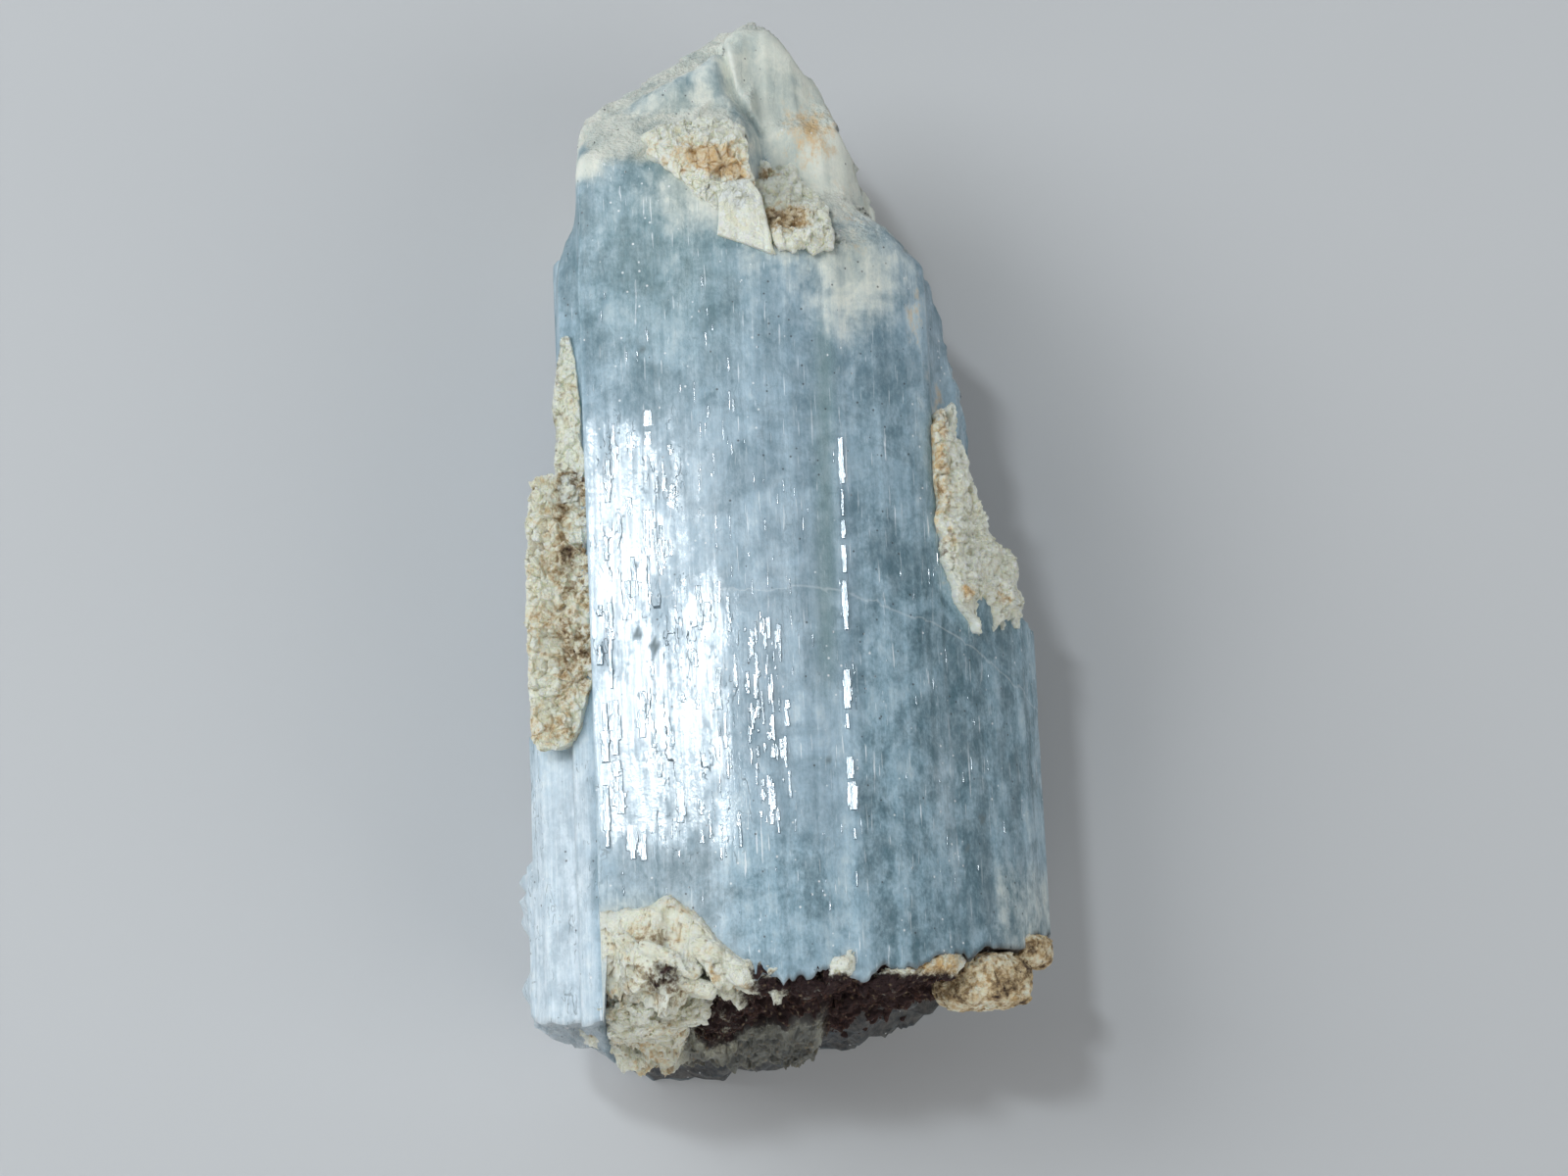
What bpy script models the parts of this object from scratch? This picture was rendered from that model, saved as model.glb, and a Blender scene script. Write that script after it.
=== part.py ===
"""A natural aquamarine crystal with crusts of its feldspar matrix, lying on its back face.

Metres, +Z up. The crystal's long axis runs along Y, with its broken base at -Y and its summit at +Y, and its
broad striated front looks up. The crystal is a bundle of parallel rods grown together, so it is one solid:
every rod is an outline swept along Y, ended by planes where it broke or stopped growing, and all of them are
broken off together at the base. Each crust of matrix is its own solid, cut to the crystal with a fine gap.

All sizes below are in millimetres, in the crystal's own frame: x across it, y along it, z up from the face it
rests on. BODY_OFFSET moves that frame so that the whole specimen's box is centred on the origin.
"""

import math

import bmesh
import bpy
import numpy as np
from mathutils import Matrix, Vector, noise

MM = 0.001
BODY_OFFSET = (0.475, -5.447, 0.0)
CRUST_GAP = 0.3
AXIS_X, AXIS_Z = 0.0, 12.5
BUNDLE_START, BUNDLE_END = -30.0, 40.0
START_STEP = 0.31

# A rod's outline is its (x, z) corners in order round it. Its ends are planes, each given as the y where the
# plane meets the bundle's axis, then its rise for each millimetre of x and of z. The lowest plane ends the rod.
RODS = {
    "front_left_plate": {
        "outline": [
            (-10.0, 21.2), (-8.0, 21.42), (-5.6, 21.72), (-2.9, 22.0), (-1.2, 21.85), (1.1, 10.2), (-8.5, 9.6),
            (-10.1, 15.0), (-10.1, 17.6),
        ],
        "ends": [(33.5, 0.03, -1.1), (32.6, -0.5, 0.05), (34.6, 0.68, -0.25), (56.6, 3.2, 0.0)],
    },
    "front_right_plate": {
        "outline": [
            (-2.5, 21.8), (-1.7, 22.0), (-0.8, 22.0), (0.8, 21.85), (2.2, 21.45), (2.85, 21.15), (2.95, 21.5),
            (3.55, 21.35), (3.65, 20.95), (5.2, 20.4), (6.8, 19.55), (8.2, 18.45), (8.3, 15.6), (-1.1, 9.2),
        ],
        "ends": [(29.2, -0.25, -1.15), (26.7, -1.1, 0.0)],
    },
    "summit_left": {
        "outline": [(-9.7, 17.3), (-6.0, 18.4), (-1.6, 18.1), (1.5, 15.5), (0.9, 0.5), (-7.6, 0.5), (-9.9, 8.0)],
        "ends": [(32.6, 0.6, -0.12), (33.0, -1.1, 0.0), (34.0, 0.0, 0.6), (56.9, 3.2, 0.0)],
    },
    "summit_right": {
        "outline": [(-2.0, 16.9), (-0.2, 17.3), (1.8, 16.7), (3.5, 15.2), (3.9, 12.0), (3.6, 0.9), (-1.8, 0.9)],
        "ends": [(33.1, -1.25, 0.0), (34.0, 0.75, -0.2), (34.0, 0.0, -0.42), (34.1, 0.0, 0.62)],
    },
    "right_step": {
        "outline": [(-1.2, 17.6), (3.0, 18.0), (4.4, 17.0), (5.3, 15.0), (5.3, 9.5), (4.9, 0.7), (-1.4, 0.7)],
        "ends": [(37.6, -2.8, 0.0), (30.6, 0.0, -0.9), (30.0, 0.0, 0.58)],
    },
    "right_block": {
        "outline": [(-0.9, 16.6), (5.6, 17.8), (7.4, 15.8), (7.7, 11.0), (7.2, 6.5), (6.3, 0.3), (-0.7, 0.3)],
        "ends": [(26.6, -1.0, -0.1), (24.2, 0.0, 0.35)],
    },
    "back_plate": {
        "outline": [(-8.2, 0.0), (-9.3, 3.2), (-8.9, 13.4), (5.9, 13.6), (6.8, 3.0), (6.1, 0.0)],
        "ends": [(25.6, -0.06, 0.15), (28.6, -1.0, 0.03)],
    },
    "left_terrace_lower": {
        "outline": [
            (-9.6, 16.9), (-13.3, 16.0), (-14.3, 14.9), (-14.4, 9.5), (-12.6, 4.4), (-9.0, 0.7), (1.0, 4.0),
            (0.8, 14.0),
        ],
        "ends": [(-14.4, -0.12, 0.05)],
    },
    "left_terrace_upper": {
        "outline": [
            (-9.5, 17.5), (-12.9, 16.7), (-13.6, 15.6), (-13.7, 9.5), (-12.2, 4.6), (-8.7, 1.1), (1.3, 4.5),
            (1.2, 14.2),
        ],
        "ends": [(-7.6, -0.12, 0.05)],
    },
    "left_shelf": {
        "outline": [(-9.4, 15.4), (-12.6, 14.3), (-12.9, 9.6), (-11.6, 4.2), (-8.0, 1.4), (1.6, 5.0), (1.4, 13.8)],
        "ends": [(4.6, -0.15, 0.0)],
    },
    "left_strip": {
        "outline": [
            (-9.7, 19.4), (-11.2, 18.3), (-11.6, 14.4), (-11.7, 9.2), (-10.6, 4.0), (-7.4, 1.6), (1.9, 5.4),
            (1.7, 13.5),
        ],
        "ends": [(18.9, -0.1, 0.05), (24.6, 0.4, 0.0)],
    },
    "right_shoulder": {
        "outline": [
            (5.0, 19.0), (8.7, 18.05), (10.8, 15.9), (12.5, 13.4), (13.45, 10.6), (13.3, 7.2), (10.4, 1.9),
            (8.2, 0.8), (-1.0, 3.8), (-1.6, 13.0),
        ],
        "ends": [(9.4, -0.75, 0.0)],
    },
    "right_strip": {
        "outline": [(6.9, 17.3), (8.6, 15.4), (8.9, 12.2), (8.9, 8.0), (7.9, 1.2), (-1.3, 4.2), (-1.9, 13.3)],
        "ends": [(24.9, -0.8, 0.02)],
    },
    "right_splinter": {
        "outline": [(7.3, 16.3), (9.8, 14.0), (10.4, 11.4), (10.3, 8.6), (8.5, 1.6), (-1.6, 4.7), (-2.2, 13.6)],
        "ends": [(58.2, -4.7, 0.0), (16.8, 0.0, 0.0)],
    },
}

# The broken base runs from a front edge, given by its (x, y) points, to a rear one, a shallow curve over x: its
# lowest y, the x where that lies and how fast it curves up. The front edge is chipped back at the left. The bosses
# stand out of the base (-) or into it (+): their middle (x, z), their half widths across x and z, and their depth.
BASE_FRONT = [
    (-14.5, -20.0), (-12.0, -21.2), (-10.0, -21.8), (-9.5, -16.4), (-8.6, -15.9), (-6.4, -15.9), (-4.6, -17.6),
    (-2.2, -19.9), (0.0, -20.2), (4.0, -20.1), (7.0, -20.0), (9.0, -19.0), (13.5, -17.6),
]
BASE_REAR = (-21.8, -5.0, 0.0145)
BASE_FRONT_Z = 22.0
BASE_REAR_Z = 3.0
BASE_BOSSES = [
    (5.0, 15.5, 3.6, 3.2, 1.2), (-6.5, 12.0, 4.0, 4.0, -0.9), (-3.5, 2.2, 6.0, 2.2, -0.5), (10.0, 9.0, 3.0, 4.0, 0.5),
]
BASE_ROUGH = 0.3
BREAK_STEPS = 36
BREAK_HALF_WIDTH = 19.0

# Each crust of matrix is one or more blocks run together. A block is its middle (x, y, z), its half sizes and
# its turns about y and about x in degrees.
CRUSTS = {
    "matrix_left_slab": [
        ((-10.75, 0.6, 16.9), (2.0, 6.6, 2.4), -20, 0),
        ((-10.7, 8.0, 17.5), (0.9, 3.6, 2.0), -10, 0),
    ],
    "matrix_right_shoulder": [
        ((9.6, 1.0, 14.8), (2.8, 2.8, 2.2), 50, 0),
        ((8.5, 6.6, 15.2), (1.7, 3.9, 1.5), 50, 0),
    ],
    "matrix_top_crust": [
        ((-4.6, 23.9, 20.4), (2.9, 2.2, 1.8), 0, -20),
        ((-2.5, 20.5, 20.8), (2.2, 3.0, 1.8), 0, -5),
        ((1.6, 19.4, 20.0), (2.8, 1.6, 1.8), 0, -25),
    ],
    "matrix_base_crust": [
        ((-7.3, -17.7, 20.5), (2.1, 2.2, 1.9), 0, 25),
        ((-3.8, -19.1, 19.9), (2.7, 1.5, 1.9), 0, 20),
        ((-5.3, -19.9, 15.8), (4.2, 1.6, 4.6), 0, -10),
        ((0.6, -20.3, 16.6), (3.6, 1.0, 4.0), 10, -10),
    ],
    "matrix_base_lump": [
        ((9.5, -19.2, 14.6), (2.2, 1.6, 2.2), 40, -20),
        ((11.3, -17.5, 12.4), (1.5, 1.3, 1.7), 60, -20),
    ],
}
BLOCK_CUTS = 6
BLOCK_SQUARENESS = 4.5
BLOCK_ROUGH = 0.75
BLOCK_GRAIN = 0.38

COLOURS = {
    "aquamarine": ((0.42, 0.56, 0.62), 0.32),
    "feldspar": ((0.62, 0.56, 0.43), 0.85),
    "stained_feldspar": ((0.38, 0.28, 0.2), 0.9),
}


def clear_scene():
    for obj in list(bpy.data.objects):
        bpy.data.objects.remove(obj)


def material(name):
    colour, roughness = COLOURS[name]
    made = bpy.data.materials.new(name)
    made.use_nodes = True
    shader = made.node_tree.nodes["Principled BSDF"]
    shader.inputs["Base Color"].default_value = (*colour, 1.0)
    shader.inputs["Roughness"].default_value = roughness
    shader.inputs["Metallic"].default_value = 0.0
    return made


def object_from(mesh_builder, name):
    """An object holding the bmesh, still in the crystal's own frame."""
    bmesh.ops.recalc_face_normals(mesh_builder, faces=mesh_builder.faces)
    mesh = bpy.data.meshes.new(name)
    mesh_builder.to_mesh(mesh)
    mesh_builder.free()
    obj = bpy.data.objects.new(name, mesh)
    bpy.context.scene.collection.objects.link(obj)
    return obj


def closed_volume(mesh):
    """The volume that the mesh holds, or zero where it isn't one closed surface."""
    builder = bmesh.new()
    builder.from_mesh(mesh)
    closed = all(len(edge.link_faces) == 2 for edge in builder.edges)
    volume = builder.calc_volume() if closed else 0.0
    builder.free()
    return volume


def combine(target, other, operation):
    """Joins other to target, or cuts it away, and applies the Boolean so that other can go.

    The solver is MANIFOLD, because EXACT now and then leaves a rod or a cut out where so many sides cross at
    shallow angles. The result has to be closed, with a volume that it can have.
    """
    before = closed_volume(target.data)
    added = closed_volume(other.data)
    least, most = (before, before + added) if operation == "UNION" else (before - added, before)
    modifier = target.modifiers.new(operation.title(), "BOOLEAN")
    modifier.operation = operation
    modifier.solver = "MANIFOLD"
    modifier.object = other
    bpy.context.view_layer.update()
    evaluated = target.evaluated_get(bpy.context.evaluated_depsgraph_get())
    result = bpy.data.meshes.new_from_object(evaluated)
    if not max(least, 0.0) < closed_volume(result) < most:
        raise RuntimeError(f"{operation} of {other.name} with {target.name} left no closed solid")
    target.modifiers.remove(modifier)
    target.data = result
    bpy.data.objects.remove(other)


def grown(outline, by):
    """The outline with every side moved outwards by the same distance."""
    points = np.array(outline, float)
    area = np.sum(points[:, 0] * np.roll(points[:, 1], -1) - np.roll(points[:, 0], -1) * points[:, 1])
    sides = np.roll(points, -1, axis=0) - points
    normals = np.stack([sides[:, 1], -sides[:, 0]], axis=1) * math.copysign(1.0, area)
    normals /= np.linalg.norm(normals, axis=1)[:, None]
    before = np.roll(normals, 1, axis=0)
    corner = before + normals
    corner /= (1.0 + np.sum(before * normals, axis=1))[:, None].clip(0.5)
    return points + corner * by


def cut_by_plane(mesh_builder, height, rise_x, rise_z):
    """Takes away what lies past the plane, and closes the cut."""
    normal = Vector((-rise_x, 1.0, -rise_z)).normalized()
    geometry = mesh_builder.verts[:] + mesh_builder.edges[:] + mesh_builder.faces[:]
    cut = bmesh.ops.bisect_plane(
        mesh_builder,
        geom=geometry,
        plane_co=Vector((AXIS_X, height, AXIS_Z)),
        plane_no=normal,
        clear_outer=True,
    )
    rim = [e for e in cut["geom_cut"] if isinstance(e, bmesh.types.BMEdge)]
    bmesh.ops.contextual_create(mesh_builder, geom=rim)


def rod(name, clearance):
    """One rod of the bundle: its outline swept along Y, then ended by its planes."""
    shape = RODS[name]
    builder = bmesh.new()
    start = BUNDLE_START - START_STEP * list(RODS).index(name)
    corners = [builder.verts.new((x, start, z)) for x, z in grown(shape["outline"], clearance)]
    face = builder.faces.new(corners)
    swept = bmesh.ops.extrude_face_region(builder, geom=[face])
    moved = [v for v in swept["geom"] if isinstance(v, bmesh.types.BMVert)]
    bmesh.ops.translate(builder, verts=moved, vec=(0.0, BUNDLE_END - BUNDLE_START, 0.0))
    for height, rise_x, rise_z in shape["ends"]:
        lean = math.sqrt(1.0 + rise_x**2 + rise_z**2)
        cut_by_plane(builder, height + clearance * lean, rise_x, rise_z)
    return object_from(builder, name)


def base_height(x, z):
    """How far along y the broken base lies under the point (x, z)."""
    front = float(np.interp(x, *zip(*BASE_FRONT)))
    low, middle, curve = BASE_REAR
    rear = low + curve * (x - middle) ** 2
    height = front + (rear - front) * (BASE_FRONT_Z - z) / (BASE_FRONT_Z - BASE_REAR_Z)
    for boss_x, boss_z, half_x, half_z, depth in BASE_BOSSES:
        height += depth * math.exp(-(((x - boss_x) / half_x) ** 2) - ((z - boss_z) / half_z) ** 2)
    height += BASE_ROUGH * math.sin(1.3 * x + 0.4 * z) * math.sin(1.1 * z - 0.5 * x)
    return height + BASE_ROUGH * noise.noise(Vector((x * 0.9, 4.0, z * 0.9)))


def base_cutter(clearance):
    """A block whose upper side is the broken base, to take away everything below it."""
    builder = bmesh.new()
    grid = bmesh.ops.create_grid(builder, x_segments=BREAK_STEPS, y_segments=BREAK_STEPS, size=BREAK_HALF_WIDTH)
    for vert in grid["verts"]:
        x, z = vert.co.x + AXIS_X, vert.co.y + AXIS_Z
        vert.co = Vector((x, base_height(x, z) - clearance, z))
    swept = bmesh.ops.extrude_face_region(builder, geom=builder.faces[:])
    for vert in [v for v in swept["geom"] if isinstance(v, bmesh.types.BMVert)]:
        vert.co.y = BUNDLE_START * 1.5
    return object_from(builder, "base_cutter")


def crystal_bundle(name, clearance=0.0):
    """All the rods run together and broken off at the base, grown by clearance on every side."""
    first, *others = RODS
    bundle = rod(first, clearance)
    bundle.name = name
    for other in others:
        combine(bundle, rod(other, clearance), "UNION")
    combine(bundle, base_cutter(clearance), "DIFFERENCE")
    return bundle


def block(name, middle, half_sizes, turn_y, turn_x):
    """A squarish stone with a broken surface: a cube drawn towards a superellipsoid, then roughened."""
    builder = bmesh.new()
    bmesh.ops.create_cube(builder, size=2.0)
    bmesh.ops.subdivide_edges(builder, edges=builder.edges[:], cuts=BLOCK_CUTS, use_grid_fill=True)
    turn = Matrix.Rotation(math.radians(turn_x), 3, "X") @ Matrix.Rotation(math.radians(turn_y), 3, "Y")
    for vert in builder.verts:
        size = sum(abs(c) ** BLOCK_SQUARENESS for c in vert.co) ** (1.0 / BLOCK_SQUARENESS)
        unit = vert.co / size
        place = turn @ Vector(u * h for u, h in zip(unit, half_sizes)) + Vector(middle)
        rough = noise.noise(place * BLOCK_GRAIN) + 0.6 * noise.noise(place * BLOCK_GRAIN * 2.6)
        vert.co = place + (turn @ unit).normalized() * rough * BLOCK_ROUGH
    return object_from(builder, name)


def crust(name):
    """A crust of matrix: its blocks run together, then cut to the crystal with the fine gap between them."""
    first, *others = CRUSTS[name]
    body = block(name, *first)
    for other in others:
        combine(body, block("block", *other), "UNION")
    combine(body, crystal_bundle("crystal_clearance", CRUST_GAP), "DIFFERENCE")
    return body


def finished(body, name, surface):
    """Puts a solid in its place, in metres, and gives it its name and its material."""
    body.name = name
    body.data.transform(Matrix.Scale(MM, 4) @ Matrix.Translation(Vector(BODY_OFFSET)))
    body.data.materials.clear()
    body.data.materials.append(surface)


def main():
    clear_scene()
    aquamarine = material("aquamarine")
    feldspar = material("feldspar")
    stained = material("stained_feldspar")
    finished(crystal_bundle("crystal"), "aquamarine_crystal", aquamarine)
    for name in CRUSTS:
        finished(crust(name), name, stained if name.startswith("matrix_base") else feldspar)


main()
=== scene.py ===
"""Looks of a natural aquamarine crystal with crusts of its feldspar matrix, lying on its back face.

The crystal is a bundle of parallel rods. Each rod is an outline across the bundle, ended by planes, so the
whole surface is worked out as the farthest that any rod reaches from the bundle's axis, in each direction
and at each height along it. The crusts of matrix are thick sheets and lumps with a granular skin. Sizes are
in millimetres in the crystal's own frame: x across it, y along it from base to summit, z up from the face
that it rests on.
"""

import math

import bpy
import numpy as np
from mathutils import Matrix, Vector

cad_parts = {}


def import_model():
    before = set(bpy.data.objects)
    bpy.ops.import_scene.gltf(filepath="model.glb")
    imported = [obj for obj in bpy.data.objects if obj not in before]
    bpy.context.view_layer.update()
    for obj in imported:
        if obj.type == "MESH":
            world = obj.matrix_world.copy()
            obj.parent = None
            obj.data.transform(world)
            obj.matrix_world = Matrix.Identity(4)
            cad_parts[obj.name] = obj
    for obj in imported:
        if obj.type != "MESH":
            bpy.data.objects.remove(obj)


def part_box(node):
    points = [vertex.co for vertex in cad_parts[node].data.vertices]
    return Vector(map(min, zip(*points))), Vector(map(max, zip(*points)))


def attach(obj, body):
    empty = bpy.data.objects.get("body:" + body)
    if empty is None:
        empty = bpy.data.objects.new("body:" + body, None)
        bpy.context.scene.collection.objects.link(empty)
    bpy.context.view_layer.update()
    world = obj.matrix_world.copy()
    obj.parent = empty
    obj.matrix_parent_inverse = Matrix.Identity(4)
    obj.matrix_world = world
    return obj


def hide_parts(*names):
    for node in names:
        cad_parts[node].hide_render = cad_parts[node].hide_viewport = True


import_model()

bl_info = {
    "name": "Aquamarine Crystal",
    "version": (1, 0, 0),
    "blender": (4, 5, 0),
    "location": "View3D > Sidebar > Aquamarine",
    "description": "Builds a striated aquamarine crystal and its feldspar matrix around their solids",
    "category": "Add Mesh",
}

# The crystal's own frame is set by its solid's box: its height, and its lowest corner in x and y.
FRONT_Z = 22.0
LOW_X, LOW_Y = -14.4, -22.842
CRYSTAL_LOW, CRYSTAL_HIGH = (np.array(corner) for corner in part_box("aquamarine_crystal"))
METRES = (CRYSTAL_HIGH[2] - CRYSTAL_LOW[2]) / FRONT_Z
ORIGIN = CRYSTAL_LOW - np.array([LOW_X, LOW_Y, 0.0]) * METRES
AXIS_X, AXIS_Z = 0.0, 12.5

# A rod's outline is its (x, z) corners in order round it. Its ends are planes, each given as the y where
# the plane meets the bundle's axis, then its rise for each millimetre of x and of z. The lowest plane ends
# the rod.
RODS = {
    "front_left_plate": {
        "outline": [
            (-10.0, 21.2), (-2.9, 22.0), (-1.2, 21.85), (1.1, 10.2), (-8.5, 9.6), (-10.1, 15.0),
            (-10.1, 17.6),
        ],
        "ends": [(33.5, 0.03, -1.1), (32.6, -0.5, 0.05), (34.6, 0.68, -0.25), (56.6, 3.2, 0.0)],
    },
    "front_right_plate": {
        "outline": [
            (-2.8, 21.97), (-1.7, 22.03), (-0.7, 21.98), (0.8, 21.8), (2.2, 21.42), (2.85, 21.22),
            (2.95, 21.33), (3.55, 21.1), (3.65, 20.95), (5.2, 20.4), (6.8, 19.55), (8.2, 18.45), (8.3, 15.6),
            (-1.1, 9.2),
        ],
        "ends": [(29.2, -0.25, -1.15), (26.7, -1.1, 0.0)],
    },
    "summit_left": {
        "outline": [
            (-9.7, 17.3), (-6.0, 18.4), (-1.6, 18.1), (1.5, 15.5), (0.9, 0.5), (-7.6, 0.5), (-9.9, 8.0),
        ],
        "ends": [(32.6, 0.6, -0.12), (33.0, -1.1, 0.0), (34.0, 0.0, 0.6), (56.9, 3.2, 0.0)],
    },
    "summit_right": {
        "outline": [
            (-2.0, 16.9), (-0.2, 17.3), (1.8, 16.7), (3.5, 15.2), (3.9, 12.0), (3.6, 0.9), (-1.8, 0.9),
        ],
        "ends": [(33.1, -1.25, 0.0), (34.0, 0.75, -0.2), (34.0, 0.0, -0.42), (34.1, 0.0, 0.62)],
    },
    "right_step": {
        "outline": [(-1.2, 17.6), (3.0, 18.0), (4.4, 17.0), (5.3, 15.0), (5.3, 9.5), (4.9, 0.7), (-1.4, 0.7)],
        "ends": [(37.6, -2.8, 0.0), (30.6, 0.0, -0.9), (30.0, 0.0, 0.58)],
    },
    "right_block": {
        "outline": [(-0.9, 16.6), (5.6, 17.8), (7.4, 15.8), (7.7, 11.0), (7.2, 6.5), (6.3, 0.3), (-0.7, 0.3)],
        "ends": [(26.6, -1.0, -0.1), (24.2, 0.0, 0.35)],
    },
    "back_plate": {
        "outline": [(-8.2, 0.0), (-9.3, 3.2), (-8.9, 13.4), (5.9, 13.6), (6.8, 3.0), (6.1, 0.0)],
        "ends": [(25.6, -0.06, 0.15), (28.6, -1.0, 0.03)],
    },
    "left_terrace_lower": {
        "outline": [
            (-9.6, 16.9), (-13.1, 16.1), (-13.95, 14.9), (-14.05, 9.5), (-12.5, 4.4), (-9.0, 0.7), (1.0, 4.0),
            (0.8, 14.0),
        ],
        "ends": [(-14.4, -0.12, 0.05)],
    },
    "left_terrace_upper": {
        "outline": [
            (-9.5, 17.5), (-12.9, 16.7), (-13.6, 15.6), (-13.7, 9.5), (-12.2, 4.6), (-8.7, 1.1), (1.3, 4.5),
            (1.2, 14.2),
        ],
        "ends": [(-7.6, -0.12, 0.05)],
    },
    "left_shelf": {
        "outline": [
            (-9.4, 15.4), (-12.6, 14.3), (-12.9, 9.6), (-11.6, 4.2), (-8.0, 1.4), (1.6, 5.0), (1.4, 13.8),
        ],
        "ends": [(4.6, -0.15, 0.0)],
    },
    "left_strip": {
        "outline": [
            (-9.7, 19.4), (-11.2, 18.3), (-11.6, 14.4), (-11.7, 9.2), (-10.6, 4.0), (-7.4, 1.6), (1.9, 5.4),
            (1.7, 13.5),
        ],
        "ends": [(18.9, -0.1, 0.05), (24.6, 0.4, 0.0)],
    },
    "right_shoulder": {
        "outline": [
            (5.0, 19.0), (8.7, 18.05), (10.8, 15.9), (12.5, 13.4), (13.45, 10.6), (13.3, 7.2), (10.4, 1.9),
            (8.2, 0.8), (-1.0, 3.8), (-1.6, 13.0),
        ],
        "ends": [(9.4, -0.75, 0.0)],
    },
    "right_strip": {
        "outline": [(6.9, 17.3), (8.6, 15.4), (8.9, 12.2), (8.9, 8.0), (7.9, 1.2), (-1.3, 4.2), (-1.9, 13.3)],
        "ends": [(24.9, -0.8, 0.02)],
    },
    "right_splinter": {
        "outline": [
            (7.3, 16.3), (9.8, 14.0), (10.4, 11.4), (10.3, 8.6), (8.5, 1.6), (-1.6, 4.7), (-2.2, 13.6),
        ],
        "ends": [(58.2, -4.7, 0.0), (16.8, 0.0, 0.0)],
    },
}

# The broken base: see base_height. Its front edge, as (x, y), is chipped back at the left. Its rear curve
# is its lowest y, the x of that, and how fast it curves up. Its bosses are (x, z, half width, half height,
# how far out).
BASE_FRONT = [
    (-14.5, -20.0), (-12.0, -21.2), (-10.0, -21.8), (-9.5, -16.4), (-8.6, -15.9), (-6.4, -15.9),
    (-4.6, -17.6), (-2.2, -19.8), (0.0, -20.1), (4.0, -20.0), (7.0, -19.7), (9.0, -18.9), (13.5, -17.6),
]
BASE_REAR = (-21.8, -5.0, 0.0145)
BASE_FRONT_Z, BASE_REAR_Z = 22.0, 3.0
BASE_BOSSES = [
    (5.0, 15.5, 3.6, 3.2, 1.2), (-6.5, 12.0, 4.0, 4.0, -0.9), (-3.5, 2.2, 6.0, 2.2, -0.5),
    (10.0, 9.0, 3.0, 4.0, 0.5),
]
BASE_ROUGH = 0.3
# How far the base's broken front edge jumps back and forth.
BASE_JAGS = 1.3


# ---------------------------------------------------------------- noise, worked out for arrays of points

LATTICE_MULTIPLES = (374761393, 668265263, 2147483647)
LATTICE_SEED_MULTIPLE = 144665
LATTICE_MIXES = ((13, 1274126177), (16, 2246822519))
LOW_32_BITS, LOW_24_BITS = 0xFFFFFFFF, 0xFFFFFF
# How far the seeds of two octaves lie apart.
OCTAVE_SEED_STEP = 17


def lattice(ix, iy, iz, seed):
    """A repeatable number from 0 to 1 for each whole-number point: odd multiples mixed by XOR and shifts."""
    h = sum(i.astype(np.int64) * multiple for i, multiple in zip((ix, iy, iz), LATTICE_MULTIPLES))
    h = (h + seed * LATTICE_SEED_MULTIPLE) & LOW_32_BITS
    for shift, multiple in LATTICE_MIXES:
        h = ((h ^ (h >> shift)) * multiple) & LOW_32_BITS
    return ((h ^ (h >> 15)) & LOW_24_BITS) / float(LOW_24_BITS)


def smooth_noise(x, y, z, seed=0):
    """Value noise from -1 to 1: the eight lattice values round each point, blended by a smooth step."""
    cell = [np.floor(c) for c in (x, y, z)]
    part = [c - i for c, i in zip((x, y, z), cell)]
    blend = [f * f * (3.0 - 2.0 * f) for f in part]
    total = 0.0
    for dx in (0, 1):
        for dy in (0, 1):
            for dz in (0, 1):
                weight = 1.0
                for f, d in zip(blend, (dx, dy, dz)):
                    weight = weight * (f if d else 1.0 - f)
                total = total + weight * lattice(cell[0] + dx, cell[1] + dy, cell[2] + dz, seed)
    return total * 2.0 - 1.0


def rough_noise(x, y, z, octaves=4, seed=0, falloff=0.5):
    """Octaves of smooth noise, each twice as fine as the last and falloff as strong, kept within -1 to 1."""
    total, strength, reach = 0.0, 1.0, 0.0
    for octave in range(octaves):
        step = 2.0**octave
        octave_seed = seed + octave * OCTAVE_SEED_STEP
        total = total + strength * smooth_noise(x * step, y * step, z * step, octave_seed)
        reach += strength
        strength *= falloff
    return total / reach


def grains(x, y, z, seed=0):
    """Cells round scattered points: (gap from the nearest to the next point, the nearest's number, a tilt).

    The tilt is a plane through the nearest point. Its slope comes from the cell's number and from the
    fractions of 7 and of 13 times it, so each cell is a facet of its own.
    """
    cell = [np.floor(c) for c in (x, y, z)]
    near = np.full(np.shape(x), 9.0)
    second = near.copy()
    owner = np.zeros(np.shape(x))
    tilt = owner.copy()
    for dx in (-1, 0, 1):
        for dy in (-1, 0, 1):
            for dz in (-1, 0, 1):
                i, j, k = cell[0] + dx, cell[1] + dy, cell[2] + dz
                to_x = x - i - lattice(i, j, k, seed)
                to_y = y - j - lattice(i, j, k, seed + 1)
                to_z = z - k - lattice(i, j, k, seed + 2)
                distance = np.sqrt(to_x**2 + to_y**2 + to_z**2)
                closer = distance < near
                second = np.where(closer, near, np.minimum(second, distance))
                number = lattice(i, j, k, seed + 3)
                slope = to_x * (number - 0.5)
                slope = slope + to_y * ((number * 7.0) % 1.0 - 0.5)
                slope = slope + to_z * ((number * 13.0) % 1.0 - 0.5)
                owner = np.where(closer, number, owner)
                tilt = np.where(closer, slope, tilt)
                near = np.where(closer, distance, near)
    return second - near, owner, tilt


def turned(first, second, degrees):
    """The two coordinates read along axes turned by an angle from the first towards the second."""
    cos, sin = math.cos(math.radians(degrees)), math.sin(math.radians(degrees))
    return first * cos + second * sin, second * cos - first * sin


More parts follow.
